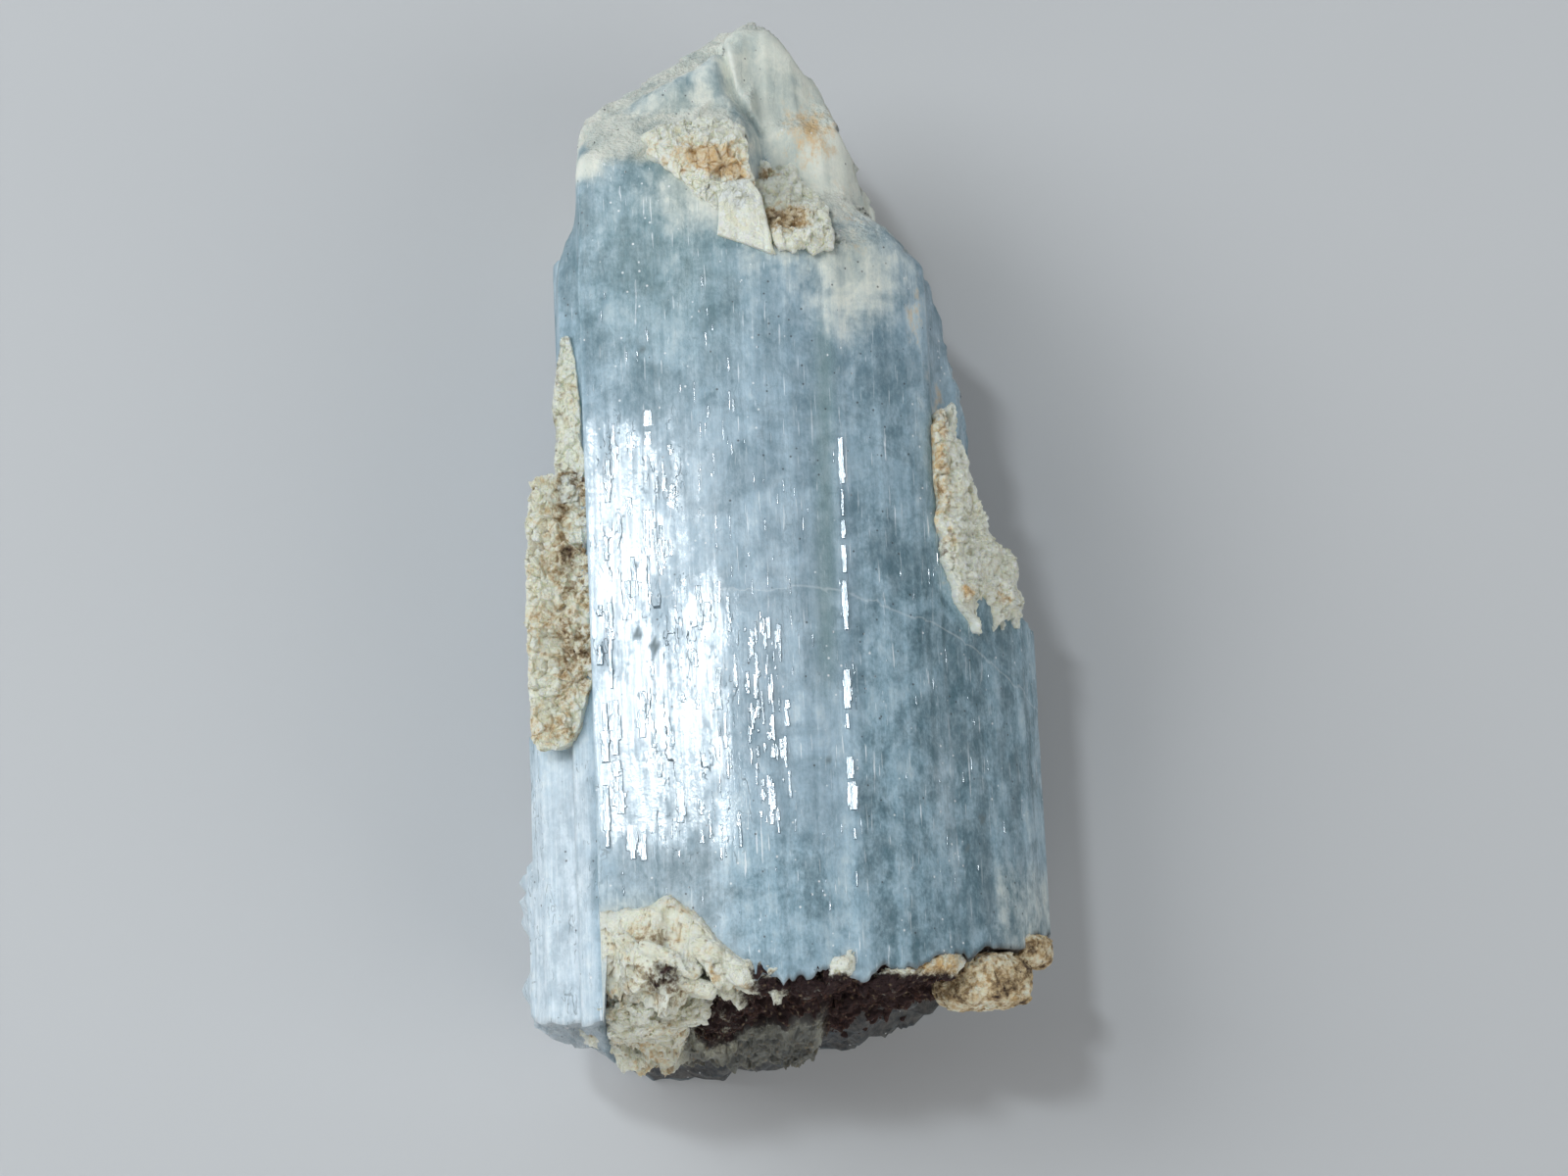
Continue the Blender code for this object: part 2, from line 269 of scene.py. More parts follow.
def rise(value, low, high):
    """A smooth step from 0 at low to 1 at high."""
    f = np.clip((value - low) / (high - low), 0.0, 1.0)
    return f * f * (3.0 - 2.0 * f)


def bump_at(value, middle, half_width):
    """A bell of height 1 round middle."""
    return np.exp(-(((value - middle) / half_width) ** 2))


def spot(u, v, middle_u, middle_v, half_u, half_v, turn=0.0):
    """A soft spot of height 1 at its middle, turned in the (u, v) plane."""
    du, dv = turned(u - middle_u, v - middle_v, turn)
    return np.exp(-((du / half_u) ** 2) - ((dv / half_v) ** 2))


# ---------------------------------------------------------------- the crystal's shape

# A side that lies nearly along the ray counts as missed by this much, and a corner as hit.
TINY = 1e-9
# How ragged the rods' end planes are, and how far short of its outline a rod counts as broken off.
END_JAGS = 0.16
BROKEN_GAP = 0.02


def outline_radius(outline, angles):
    """How far an outline lies from the axis in each direction: the ray is crossed with every side of it."""
    corners = np.array(outline) - np.array([AXIS_X, AXIS_Z])
    sides = np.roll(corners, -1, axis=0) - corners
    ray_x, ray_z = np.cos(angles)[:, None], np.sin(angles)[:, None]
    across = ray_x * sides[:, 1] - ray_z * sides[:, 0]
    across = np.where(np.abs(across) < TINY, TINY, across)
    along = (corners[:, 0] * sides[:, 1] - corners[:, 1] * sides[:, 0]) / across
    where = (corners[:, 0] * ray_z - corners[:, 1] * ray_x) / across
    hit = (where >= -TINY) & (where <= 1.0 + TINY) & (along > 0.0)
    return np.where(hit, along, 0.0).max(axis=1)


def bundle_radius(angles, heights):
    """The farthest that any rod reaches from the axis, and whether an end plane stops it short there.

    A plane of level h that rises g for each millimetre outwards lets a rod be where y <= h + g r.
    """
    reach = np.zeros(heights.shape)
    broken = np.zeros(heights.shape, bool)
    jag = END_JAGS * smooth_noise(angles * 5.0, heights * 0.4, 0.0, 5)
    for rod in RODS.values():
        outline = np.broadcast_to(outline_radius(rod["outline"], angles), heights.shape)
        radius = outline.copy()
        for level, rise_x, rise_z in rod["ends"]:
            slope = rise_x * np.cos(angles) + rise_z * np.sin(angles)
            room = level + jag - heights
            falling = slope < -1e-6
            limit = np.where(falling, room / np.where(falling, -slope, 1.0), radius)
            alive = falling | (radius * slope >= -room)
            radius = np.where(alive, np.minimum(radius, limit), 0.0)
        radius = np.clip(radius, 0.0, None)
        wins = radius > reach
        broken = np.where(wins, radius < outline - BROKEN_GAP, broken)
        reach = np.where(wins, radius, reach)
    return reach, broken


def base_height(x, z):
    """How far along y the broken base lies under the point (x, z).

    It runs from the front edge to the rear curve, and has bosses standing out of it or into it, fine waves
    and noise. Its front edge jumps back and forth from x = -2 on.
    """
    front = np.interp(x, *np.array(BASE_FRONT).T)
    low, middle, curve = BASE_REAR
    rear = low + curve * (x - middle) ** 2
    height = front + (rear - front) * (BASE_FRONT_Z - z) / (BASE_FRONT_Z - BASE_REAR_Z)
    for boss_x, boss_z, half_x, half_z, depth in BASE_BOSSES:
        height = height + depth * np.exp(-(((x - boss_x) / half_x) ** 2) - ((z - boss_z) / half_z) ** 2)
    height = height + BASE_ROUGH * np.sin(1.3 * x + 0.4 * z) * np.sin(1.1 * z - 0.5 * x)
    height = height + BASE_ROUGH * smooth_noise(x * 0.9, 4.0, z * 0.9, 2)
    jags = BASE_JAGS * (0.4 - np.abs(rough_noise(x * 1.1, 9.0, z * 0.3, 3, 6)))
    return height + jags * rise(z, 15.5, 18.5) * rise(x, -3.5, -1.5)


# The outline is measured in this many directions, and its low part gets this share of the columns.
FINE_ANGLES = 7201
HIDDEN_SHARE = 0.3


def column_angles(count):
    """The directions of the grid's columns, once round the axis from straight down.

    They are evenly spread along the widest outline, sparser low down, and moved to the front's sharp corners.
    """
    fine = np.linspace(-math.pi / 2, 1.5 * math.pi, FINE_ANGLES)
    widest = np.max([outline_radius(rod["outline"], fine) for rod in RODS.values()], axis=0)
    x, z = AXIS_X + widest * np.cos(fine), AXIS_Z + widest * np.sin(fine)
    step = np.hypot(np.diff(x), np.diff(z))
    share = HIDDEN_SHARE + (1.0 - HIDDEN_SHARE) * rise((z[1:] + z[:-1]) / 2, 6.0, 10.0)
    along = np.concatenate([[0.0], np.cumsum(step * share)])
    angles = np.interp(np.linspace(0.0, along[-1], count + 1)[:-1], along, fine)
    for name in ("front_left_plate", "front_right_plate"):
        for corner_x, corner_z in RODS[name]["outline"]:
            if corner_z > 17.0 and not -9.5 < corner_x < 2.5:
                corner = math.atan2(corner_z - AXIS_Z, corner_x - AXIS_X)
                angles[np.argmin(np.abs(angles - corner))] = corner
    return np.sort(angles)


CRYSTAL_COLUMNS = 400
CAP_RINGS = 44
SIDE_ROWS = 205
# Where the sides begin above the base, and how far past the summit's planes they run.
SIDE_START = -19.5
SUMMIT_EXTRA = 0.3
# How many times the grid is smoothed: over the rods' joints, the summit, its brow and the breaks' rims.
JOINT_ROUNDS = 24
SUMMIT_ROUNDS = 5
BROW_ROUNDS = 50
BREAK_ROUNDS = 6
# The radius of the worn summit's round tip, and the cleft down its front, as (y, x).
KNOB_RADIUS = 1.7
CLEFT = [(25.8, -0.2), (28.1, -1.67), (30.3, -2.11), (31.5, -2.4)]
CLEFT_HALF_WIDTH, CLEFT_DEPTH = 0.3, 0.8
# Small knots on the left edge, as (y, z, half length), and how far they stand out.
LEFT_KNOTS = [
    (-13.1, 11.5, 0.5), (-14.4, 13.0, 0.35), (-15.2, 11.0, 0.6), (-18.9, 12.0, 0.7), (2.6, 8.0, 1.2),
]
KNOT_HEIGHT = 0.55
# How deep the skin's marks are: growth lines, finer lines between them, steps of plates, and shallow dents.
LINES, FINE_LINES, PLATES, DENTS = 0.03, 0.014, 0.03, 0.05
# How far the base is set back under its crust.
COVERED_DEPTH = 0.9


def mirror_face(x, y, z):
    """Where the front's flat left face is, which shines as one: 1 on it and 0 off it, with a soft rim."""
    across = rise(x, -10.1, -9.7) * (1.0 - rise(x, -2.6, -0.6))
    return across * rise(z, 20.0, 21.0) * (1.0 - rise(y, 19.0, 23.0))


def surface_relief(x, y, z, along, broken):
    """How far the crystal's skin stands out, in millimetres: growth lines, plates and rough breaks."""
    flat = 1.0 - broken
    calm = 1.0 - 0.93 * mirror_face(x, y, z)
    drift = along + 0.3 * smooth_noise(along * 0.3, y * 0.08, 0.0, 11)
    lines = LINES * smooth_noise(drift * 0.9, y * 0.02, 0.0, 21)
    lines = lines + FINE_LINES * smooth_noise(drift * 2.7, y * 0.05, 0.0, 22)
    plates = PLATES * np.round(3.0 * rough_noise(drift * 0.6, y * 0.1, 0.0, 3, 31)) / 3.0
    dents = -DENTS * rise(rough_noise(x * 0.6, y * 0.35, z * 0.6, 3, 33), 0.25, 0.6)
    _, owner, tilt = grains(x * 0.6, y * 0.6, z * 0.6, 61)
    lumps = 0.3 * rough_noise(x * 0.5, y * 0.5, z * 0.5, 4, 51) + 0.25 * (owner - 0.5) + 0.9 * tilt
    knots = 0.0
    for knot_y, knot_z, half in LEFT_KNOTS:
        knots = knots + KNOT_HEIGHT * spot(y, z, knot_y, knot_z, half, 1.6) * rise(-x, 11.0, 12.5)
    return flat * ((lines + dents) * calm + plates * (0.3 + 0.7 * calm) + knots) + broken * lumps


def blurred(values, rounds):
    """The grid with each point averaged with its four neighbours, several times. Its columns run round."""
    out = values.astype(float)
    for _ in range(rounds):
        sides = np.roll(out, 1, axis=1) + np.roll(out, -1, axis=1)
        ends = np.vstack([out[:1], out[:-1]]) + np.vstack([out[1:], out[-1:]])
        out = (out * 2.0 + sides + ends) / 6.0
    return out


def softened(values, share, rounds):
    """The grid smoothed in rounds, and mixed with itself by a share from 0 to 1 at each point."""
    return values + (blurred(values, rounds) - values) * share


def side_heights(rim_y, top):
    """The y of the sides' rows: they follow the base's broken rim and straighten out up to the top."""
    rows = 1.0 - (1.0 - np.linspace(0.0, 1.0, SIDE_ROWS)) ** 1.15
    heights = SIDE_START + (top - SIDE_START) * rows[:, None] + np.zeros(len(rim_y))
    return heights + (rim_y - SIDE_START) * (1.0 - rise(heights, SIDE_START, -8.0))


def worn(radius, heights, top, angles):
    """The bundle's radius with its tip rounded, and its rods' joints, summit and brow smoothed."""
    side_x, side_z = AXIS_X + radius * np.cos(angles), AXIS_Z + radius * np.sin(angles)
    joints = rise(side_x, -9.2, -8.0) * (1.0 - rise(side_x, 9.0, 11.0)) * rise(side_z, 12.0, 16.0)
    summit = rise(heights, 19.0, 25.0) * rise(side_z, 4.0, 8.0)
    brow = rise(heights, 17.0, 20.0) * (1.0 - rise(heights, 25.0, 28.0))
    brow = brow * rise(-side_x, -1.0, 2.0) * rise(side_z, 14.0, 17.0)
    under = KNOB_RADIUS - np.minimum(top - heights, KNOB_RADIUS)
    radius = np.maximum(radius, np.sqrt(KNOB_RADIUS**2 - under**2) * rise(heights, 26.0, 30.0))
    radius = softened(radius, 0.85 * joints, JOINT_ROUNDS)
    radius = softened(radius, 0.8 * summit, SUMMIT_ROUNDS)
    return softened(radius, 0.9 * brow, BROW_ROUNDS)


def base_cap(rim):
    """The broken base as rings inside its rim: lumps and tilted grains, set back under the crust."""
    shares = np.linspace(0.0, 1.0, CAP_RINGS + 2)[1:-1, None] ** 0.8
    x = AXIS_X + shares * (rim[:, 0] - AXIS_X)
    z = AXIS_Z + shares * (rim[:, 2] - AXIS_Z)
    y = base_height(x, z)
    lumps = 0.3 * rough_noise(x * 0.8, y * 0.8, z * 0.8, 4, 71)
    _, owner, tilt = grains(x * 0.8, 0.0, z * 0.8, 81)
    lumps = lumps + 0.3 * (owner - 0.5) + 0.8 * tilt
    covered = rise(z, 5.0, 8.0) * rise(x, -9.0, -8.0) * (1.0 - rise(x, 7.0, 9.0))
    y = y + lumps * rise(1.0 - shares, 0.0, 0.06) + COVERED_DEPTH * covered * rise(1.0 - shares, 0.0, 0.1)
    return np.stack([x, y, z], axis=-1)


def crystal_grid():
    """The crystal's surface as rows of points, from the base's middle out over its rings and up the sides'
    rows, and how broken it is at each.
    """
    angles = column_angles(CRYSTAL_COLUMNS)
    cos, sin = np.cos(angles), np.sin(angles)
    rim_radius = bundle_radius(angles, np.full((1, len(angles)), -18.0))[0][0]
    rim_x, rim_z = AXIS_X + rim_radius * cos, AXIS_Z + rim_radius * sin
    along = np.concatenate([[0.0], np.cumsum(np.hypot(np.diff(rim_x), np.diff(rim_z)))])
    summit_rods = ("summit_right", "summit_left")
    top = max(min(level for level, _, _ in RODS[name]["ends"]) for name in summit_rods) + SUMMIT_EXTRA
    heights = side_heights(base_height(rim_x, rim_z), top)
    radius, broken = bundle_radius(angles, heights)
    radius = worn(radius, heights, top, angles)
    broken = blurred(broken, BREAK_ROUNDS)

    side_x, side_z = AXIS_X + radius * cos, AXIS_Z + radius * sin
    relief = surface_relief(side_x, heights, side_z, along, broken)
    cleft_x = np.interp(heights, *np.array(CLEFT).T)
    cleft = bump_at(side_x, cleft_x, CLEFT_HALF_WIDTH) * rise(side_z, 12.0, 14.0)
    relief = relief - CLEFT_DEPTH * cleft * rise(heights, 24.8, 26.5) * (1.0 - rise(heights, 30.5, 32.3))
    radius = np.clip(radius + relief * np.clip(radius / 1.5, 0.0, 1.0), 0.0, None)
    side = np.stack([AXIS_X + radius * cos, heights, AXIS_Z + radius * sin], axis=-1)
    cap = base_cap(side[0])
    grid = np.concatenate([cap, side], axis=0)
    grid[..., 2] = np.maximum(grid[..., 2], 0.0)
    return grid, np.concatenate([np.ones(cap.shape[:2]), broken], axis=0)


# ---------------------------------------------------------------- meshes

def world(points):
    """Points of the crystal's own frame, in metres in the frame's own place."""
    return np.asarray(points) * METRES + ORIGIN


def shut_tube(grid, first_pole, last_pole):
    """The (vertices, quads, triangles) of rows of points that run round, with each end shut by a fan."""
    rows, columns, _ = grid.shape
    index = np.arange(rows * columns).reshape(rows, columns)
    after = np.roll(index, -1, axis=1)
    quads = np.stack([index[:-1], after[:-1], after[1:], index[1:]], axis=-1).reshape(-1, 4)
    start, stop = np.full(columns, rows * columns), np.full(columns, rows * columns + 1)
    first = np.stack([start, after[0], index[0]], axis=-1)
    last = np.stack([stop, index[-1], after[-1]], axis=-1)
    vertices = np.concatenate([grid.reshape(-1, 3), [first_pole], [last_pole]])
    return vertices, quads, np.concatenate([first, last])


def shut_sheet(grid, inner_point):
    """The (vertices, quads, triangles) of one grid whose rim is shut by a fan to a point under its middle."""
    rows, columns, _ = grid.shape
    index = np.arange(rows * columns).reshape(rows, columns)
    quads = np.stack([index[:-1, :-1], index[:-1, 1:], index[1:, 1:], index[1:, :-1]], axis=-1).reshape(-1, 4)
    rim = np.concatenate([index[0, :-1], index[:-1, -1], index[-1, :0:-1], index[:0:-1, 0]])
    inner = np.full(len(rim), rows * columns)
    triangles = np.stack([rim, inner, np.roll(rim, -1)], axis=-1)
    return np.concatenate([grid.reshape(-1, 3), [inner_point]]), quads, triangles


def faces_out(vertices, quads, triangles):
    """The same body, its faces turned so that its volume, a sum of pyramids from its middle, is positive."""
    flat = np.concatenate([quads[:, [0, 1, 2]], quads[:, [0, 2, 3]], triangles])
    a, b, c = (vertices[flat[:, i]] - vertices.mean(axis=0) for i in range(3))
    if np.einsum("ij,ij->i", a, np.cross(b, c)).sum() < 0.0:
        return vertices, quads[:, ::-1], triangles[:, ::-1]
    return vertices, quads, triangles


def put_mesh(name, bodies, smooth=True):
    """One mesh object at the origin from closed bodies, each (vertices, quads, triangles) in millimetres."""
    bodies = [faces_out(*body) for body in bodies]
    starts = np.cumsum([0] + [len(body[0]) for body in bodies[:-1]])
    vertices = world(np.concatenate([body[0] for body in bodies]))
    quads = np.concatenate([body[1] + start for body, start in zip(bodies, starts)])
    triangles = np.concatenate([body[2] + start for body, start in zip(bodies, starts)])
    corners = np.concatenate([quads.ravel(), triangles.ravel()]).astype(np.int32)
    counts = np.concatenate([np.full(len(quads), 4), np.full(len(triangles), 3)]).astype(np.int32)
    mesh = bpy.data.meshes.new(name)
    mesh.vertices.add(len(vertices))
    mesh.vertices.foreach_set("co", np.ascontiguousarray(vertices, np.float32).ravel())
    mesh.loops.add(len(corners))
    mesh.loops.foreach_set("vertex_index", corners)
    mesh.polygons.add(len(counts))
    mesh.polygons.foreach_set("loop_start", (np.cumsum(counts) - counts).astype(np.int32))
    mesh.polygons.foreach_set("loop_total", counts)
    mesh.polygons.foreach_set("use_smooth", np.full(len(counts), smooth))
    mesh.update(calc_edges=True)
    piece = bpy.data.objects.new(name, mesh)
    bpy.context.scene.collection.objects.link(piece)
    return piece


def keep_number(piece, name, values):
    """Stores one number for each vertex of the piece."""
    attribute = piece.data.attributes.new(name, "FLOAT", "POINT")
    attribute.data.foreach_set("value", np.ascontiguousarray(values, np.float32).ravel())


# ---------------------------------------------------------------- the matrix's shapes

def granular(points, seed, coarse=1.0):
    """How far the broken feldspar stands out, in millimetres, and how hollow it is there, from 0 to 1.

    It sums big lumps, angular grains of three sizes that each stand and lean their own way, with grooves
    between the middle ones, and grit.
    """
    x, y, z = (points[..., i] for i in range(3))
    lumps = 0.45 * rough_noise(x * 0.42, y * 0.42, z * 0.42, 3, seed)
    _, owner, tilt = grains(x * 0.75, y * 0.75, z * 0.75, seed + 5)
    lumps = lumps + 0.3 * (owner - 0.5) + 0.7 * tilt
    gap, owner, tilt = grains(x * 1.7, y * 1.7, z * 1.7, seed + 9)
    blocks = 0.36 * (owner - 0.5) + 0.6 * tilt - 0.1 * np.exp(-gap / 0.1)
    _, owner, tilt = grains(x * 4.2, y * 4.2, z * 4.2, seed + 21)
    grit = 0.1 * (owner - 0.5) + 0.18 * tilt + 0.04 * rough_noise(x * 4.0, y * 4.0, z * 4.0, 2, seed + 13)
    height = (lumps + blocks) * coarse + grit * (0.15 + 0.85 * coarse)
    return height, rise(-(blocks * coarse + grit), 0.0, 0.3)


def over_surface(across, along, steep=0.15):
    """A place for a crust on a gently bent surface: x is u, y is v, and z sums two profiles, of x and of y.

    The height stands along the surface's normal, which comes from the profiles' slopes.
    """
    across, along = np.array(across).T, np.array(along).T

    def place(u, v, height):
        slope_x = (np.interp(u + steep, *across) - np.interp(u - steep, *across)) / (2 * steep)
        slope_y = (np.interp(v + steep, *along) - np.interp(v - steep, *along)) / (2 * steep)
        length = np.sqrt(1.0 + slope_x**2 + slope_y**2)
        z = np.interp(u, *across) + np.interp(v, *along) + height / length
        return np.stack([u - slope_x / length * height, v - slope_y / length * height, z], axis=-1)

    return place


def on_base(u, v, height):
    """The place of the base crust: x is u, y is the broken base's, z goes down by v from the front's edge,
    and the height stands off it at right angles. Left of the chip it goes on level, and stops short of the
    left terrace.
    """
    z = np.interp(u, *np.array(FRONT_EDGE).T) + 0.1 - v
    chip_u = np.maximum(u, CHIP_LEFT)
    y = base_height(chip_u, z)
    slope_x = np.clip((base_height(chip_u + 0.4, z) - base_height(chip_u - 0.2, z)) / 0.6, -0.15, 0.05)
    slope_z = np.clip((base_height(chip_u, z + 0.4) - base_height(chip_u, z - 0.4)) / 0.8, -0.2, 0.6)
    length = np.sqrt(1.0 + slope_x**2 + slope_z**2)
    left_limit = TERRACE_LEFT - 2.0 * rise(17.6 - z, 0.0, 1.0)
    x = np.maximum(u + slope_x / length * height, left_limit)
    return np.stack([x, y - height / length, z + slope_z / length * height], axis=-1)


def crust_grid(stations, place, features, seed, size, thick, ragged, skirt, sunk, coarse,
               bank=0.06, round_off=0.2, fringe=None):
    """A thick sheet over a surface, as (grid, point under it, {number for each vertex}).

    It runs through stations along v, each (v, left edge, right edge). The middle of the grid is the sheet's
    face. Its outer share, the skirt, turns down at the ragged outline and in under it, sunk millimetres
    deep. features gives more height for (u, v), and what it stores for each vertex. bank is the share over
    which it thins out, round_off how far its corners are drawn in, and fringe how ragged its two ends are.
    coarse scales its lumps.
    """
    rows, columns = size
    a, b = np.meshgrid(np.linspace(-1.0, 1.0, columns), np.linspace(-1.0, 1.0, rows))
    out = np.maximum(np.maximum(np.abs(a), np.abs(b)), 1e-6)
    down = np.clip((out - (1.0 - skirt)) / skirt, 0.0, 1.0)
    inward = np.minimum(out / (1.0 - skirt), 1.0) * (1.0 - 0.15 * down**2) / out
    a, b = a * inward, b * inward
    corner = rise(np.abs(a) * np.abs(b), 0.45, 1.0)
    a, b = a * (1.0 - round_off * corner), b * (1.0 - round_off * corner)

    levels, lefts, rights = np.array(stations).T
    v = (levels[0] + levels[-1]) / 2 + b * (levels[-1] - levels[0]) / 2
    fringe = ragged if fringe is None else fringe
    v = v + fringe * rough_noise(a * 3.6, 0.0, b * 0.5, 3, seed + 1) * np.abs(b)
    left = np.interp(v, levels, lefts) + ragged * rough_noise(v * 0.8, 0.0, 0.0, 4, seed + 2)
    right = np.interp(v, levels, rights) + ragged * rough_noise(v * 0.8, 7.0, 0.0, 4, seed + 3)
    u = left + (right - left) * (a + 1.0) / 2

    extra, stored = features(u, v)
    height, hollow = granular(place(u, v, extra), seed, coarse)
    edge = 1.0 - np.exp(-((1.0 - np.minimum(out / (1.0 - skirt), 1.0)) / bank))
    height = (thick + height + extra) * (0.45 + 0.55 * edge)
    grid = place(u, v, height * (1.0 - down**2) - sunk * down**1.3)
    inner = place(np.array([u.mean()]), np.array([v.mean()]), np.array([-sunk - 0.3]))[0]
    return grid, inner, {"hollow": hollow, **stored}


def lump_grid(middle, half_sizes, turn, swing, seed, size, squareness, coarse):
    """A grainy lump, as (grid, its two poles, numbers): a rounded box as a radius in each direction.

    The radius is the box's p-norm, with p the squareness, so its corners are round. turn is its turn about
    y in degrees, and swing its turn about z after that.
    """
    rows, columns = size
    polar = np.linspace(0.0, math.pi, rows + 2)[:, None]
    round_it = np.linspace(0.0, 2 * math.pi, columns, endpoint=False)[None, :]
    way = np.stack([np.sin(polar) * np.cos(round_it), np.cos(polar) + 0.0 * round_it,
                    np.sin(polar) * np.sin(round_it)], axis=-1)
    reach = (np.abs(way / np.array(half_sizes)) ** squareness).sum(axis=-1) ** (-1.0 / squareness)
    x, z = turned(way[..., 0], way[..., 2], turn)
    x, y = turned(x, way[..., 1], -swing)
    way = np.stack([x, y, z], axis=-1)
    shell = np.array(middle) + way * reach[..., None]
    height, hollow = granular(shell, seed, coarse)
    shell = shell + way * height[..., None]
    ends = shell[0].mean(axis=0), shell[-1].mean(axis=0)
    return shell[1:-1], ends, {"hollow": hollow[1:-1]}


def crust_piece(name, sheets, lumps=()):
    """A matrix piece from its sheets and lumps, with its numbers hollow, rust, brown and grey."""
    bodies = [shut_sheet(grid, inner) for grid, inner, _ in sheets]
    bodies += [shut_tube(grid, *poles) for grid, poles, _ in lumps]
    piece = put_mesh(name, bodies, smooth=False)
    pole_counts = [1] * len(sheets) + [2] * len(lumps)
    for key in ("hollow", "rust", "brown", "grey"):
        values = []
        for (grid, _, numbers), poles in zip([*sheets, *lumps], pole_counts):
            values.append(np.broadcast_to(numbers.get(key, 0.0), grid.shape[:2]).ravel())
            values.append(np.zeros(poles))
        keep_number(piece, key, np.concatenate(values))
    return piece


def slab_features(u, v):
    """The left slab: its outer rim stands higher and paler, and a brown furrow runs beside the crystal."""
    furrow = rise(u, -12.4, -10.9) * (0.7 + 0.3 * smooth_noise(v * 0.7, 0.0, 0.0, 301))
    numbers = {"brown": 0.45 * furrow, "rust": 0.35 + 0.35 * furrow}
    return 0.35 * bump_at(u, -12.9, 0.6) - 0.5 * furrow, numbers


def strip_features(u, _):
    """The thin tan strip above the slab, with a browner line along its middle."""
    return 0.0, {"brown": 0.25 * bump_at(u, -11.6, 0.5), "rust": 0.2}


def shoulder_features(u, v):
    """The right shoulder: a cream face with pits, orange along its inner edge, a rusty spot and two notches
    near its foot.
    """
    inner = rise(-u, -9.6, -8.6) * rise(v, 0.0, 5.0)
    rust = 0.55 * inner + spot(u, v, 9.5, 0.2, 0.5, 0.5) + 0.6 * spot(u, v, 11.6, 0.4, 0.5, 0.4)
    pits = rise(rough_noise(u * 2.4, v * 2.4, 0.0, 2, 307), 0.18, 0.45)
    notch = spot(u, v, 10.7, -1.1, 0.5, 1.2) + 0.8 * spot(u, v, 12.0, -1.3, 0.3, 0.7)
    brown = 0.5 * spot(u, v, 9.5, 0.1, 0.35, 0.3) + 0.22 * pits
    return -0.2 * pits - 2.0 * notch, {"rust": rust, "brown": brown}


def cap_features(u, v):
    """The top crust: an orange patch sunk in its middle, and a raised rim round its upper side."""
    rust = 0.75 * spot(u, v, -3.4, 23.2, 2.9, 1.2, -12) + 0.65 * spot(u, v, -1.6, 22.0, 1.5, 0.7, -45)
    height = 0.3 * bump_at(v, 24.6, 0.6) - 0.25 * spot(u, v, -3.2, 23.5, 1.6, 0.7, 15)
    return height, {"rust": rust}


def plate_features(u, v):
    """The flat cream plate: fine lines along it."""
    return 0.05 * smooth_noise(u * 5.0, v * 0.4, 0.0, 303), {}


def hollow_features(u, v):
    """The orange hollow beside the plate, with a pale ridge along its lower edge."""
    ridge = spot(u, v, 1.9, 18.25, 1.7, 0.38, 16)
    rust = 1.1 * spot(u, v, 0.9, 19.6, 1.6, 1.2) * (1.0 - ridge) + 0.5 * spot(u, v, 0.2, 22.6, 1.0, 0.5)
    return 0.6 * ridge - 0.3 * spot(u, v, 1.0, 19.9, 1.3, 1.0), {"rust": rust, "brown": 0.35 * rust}


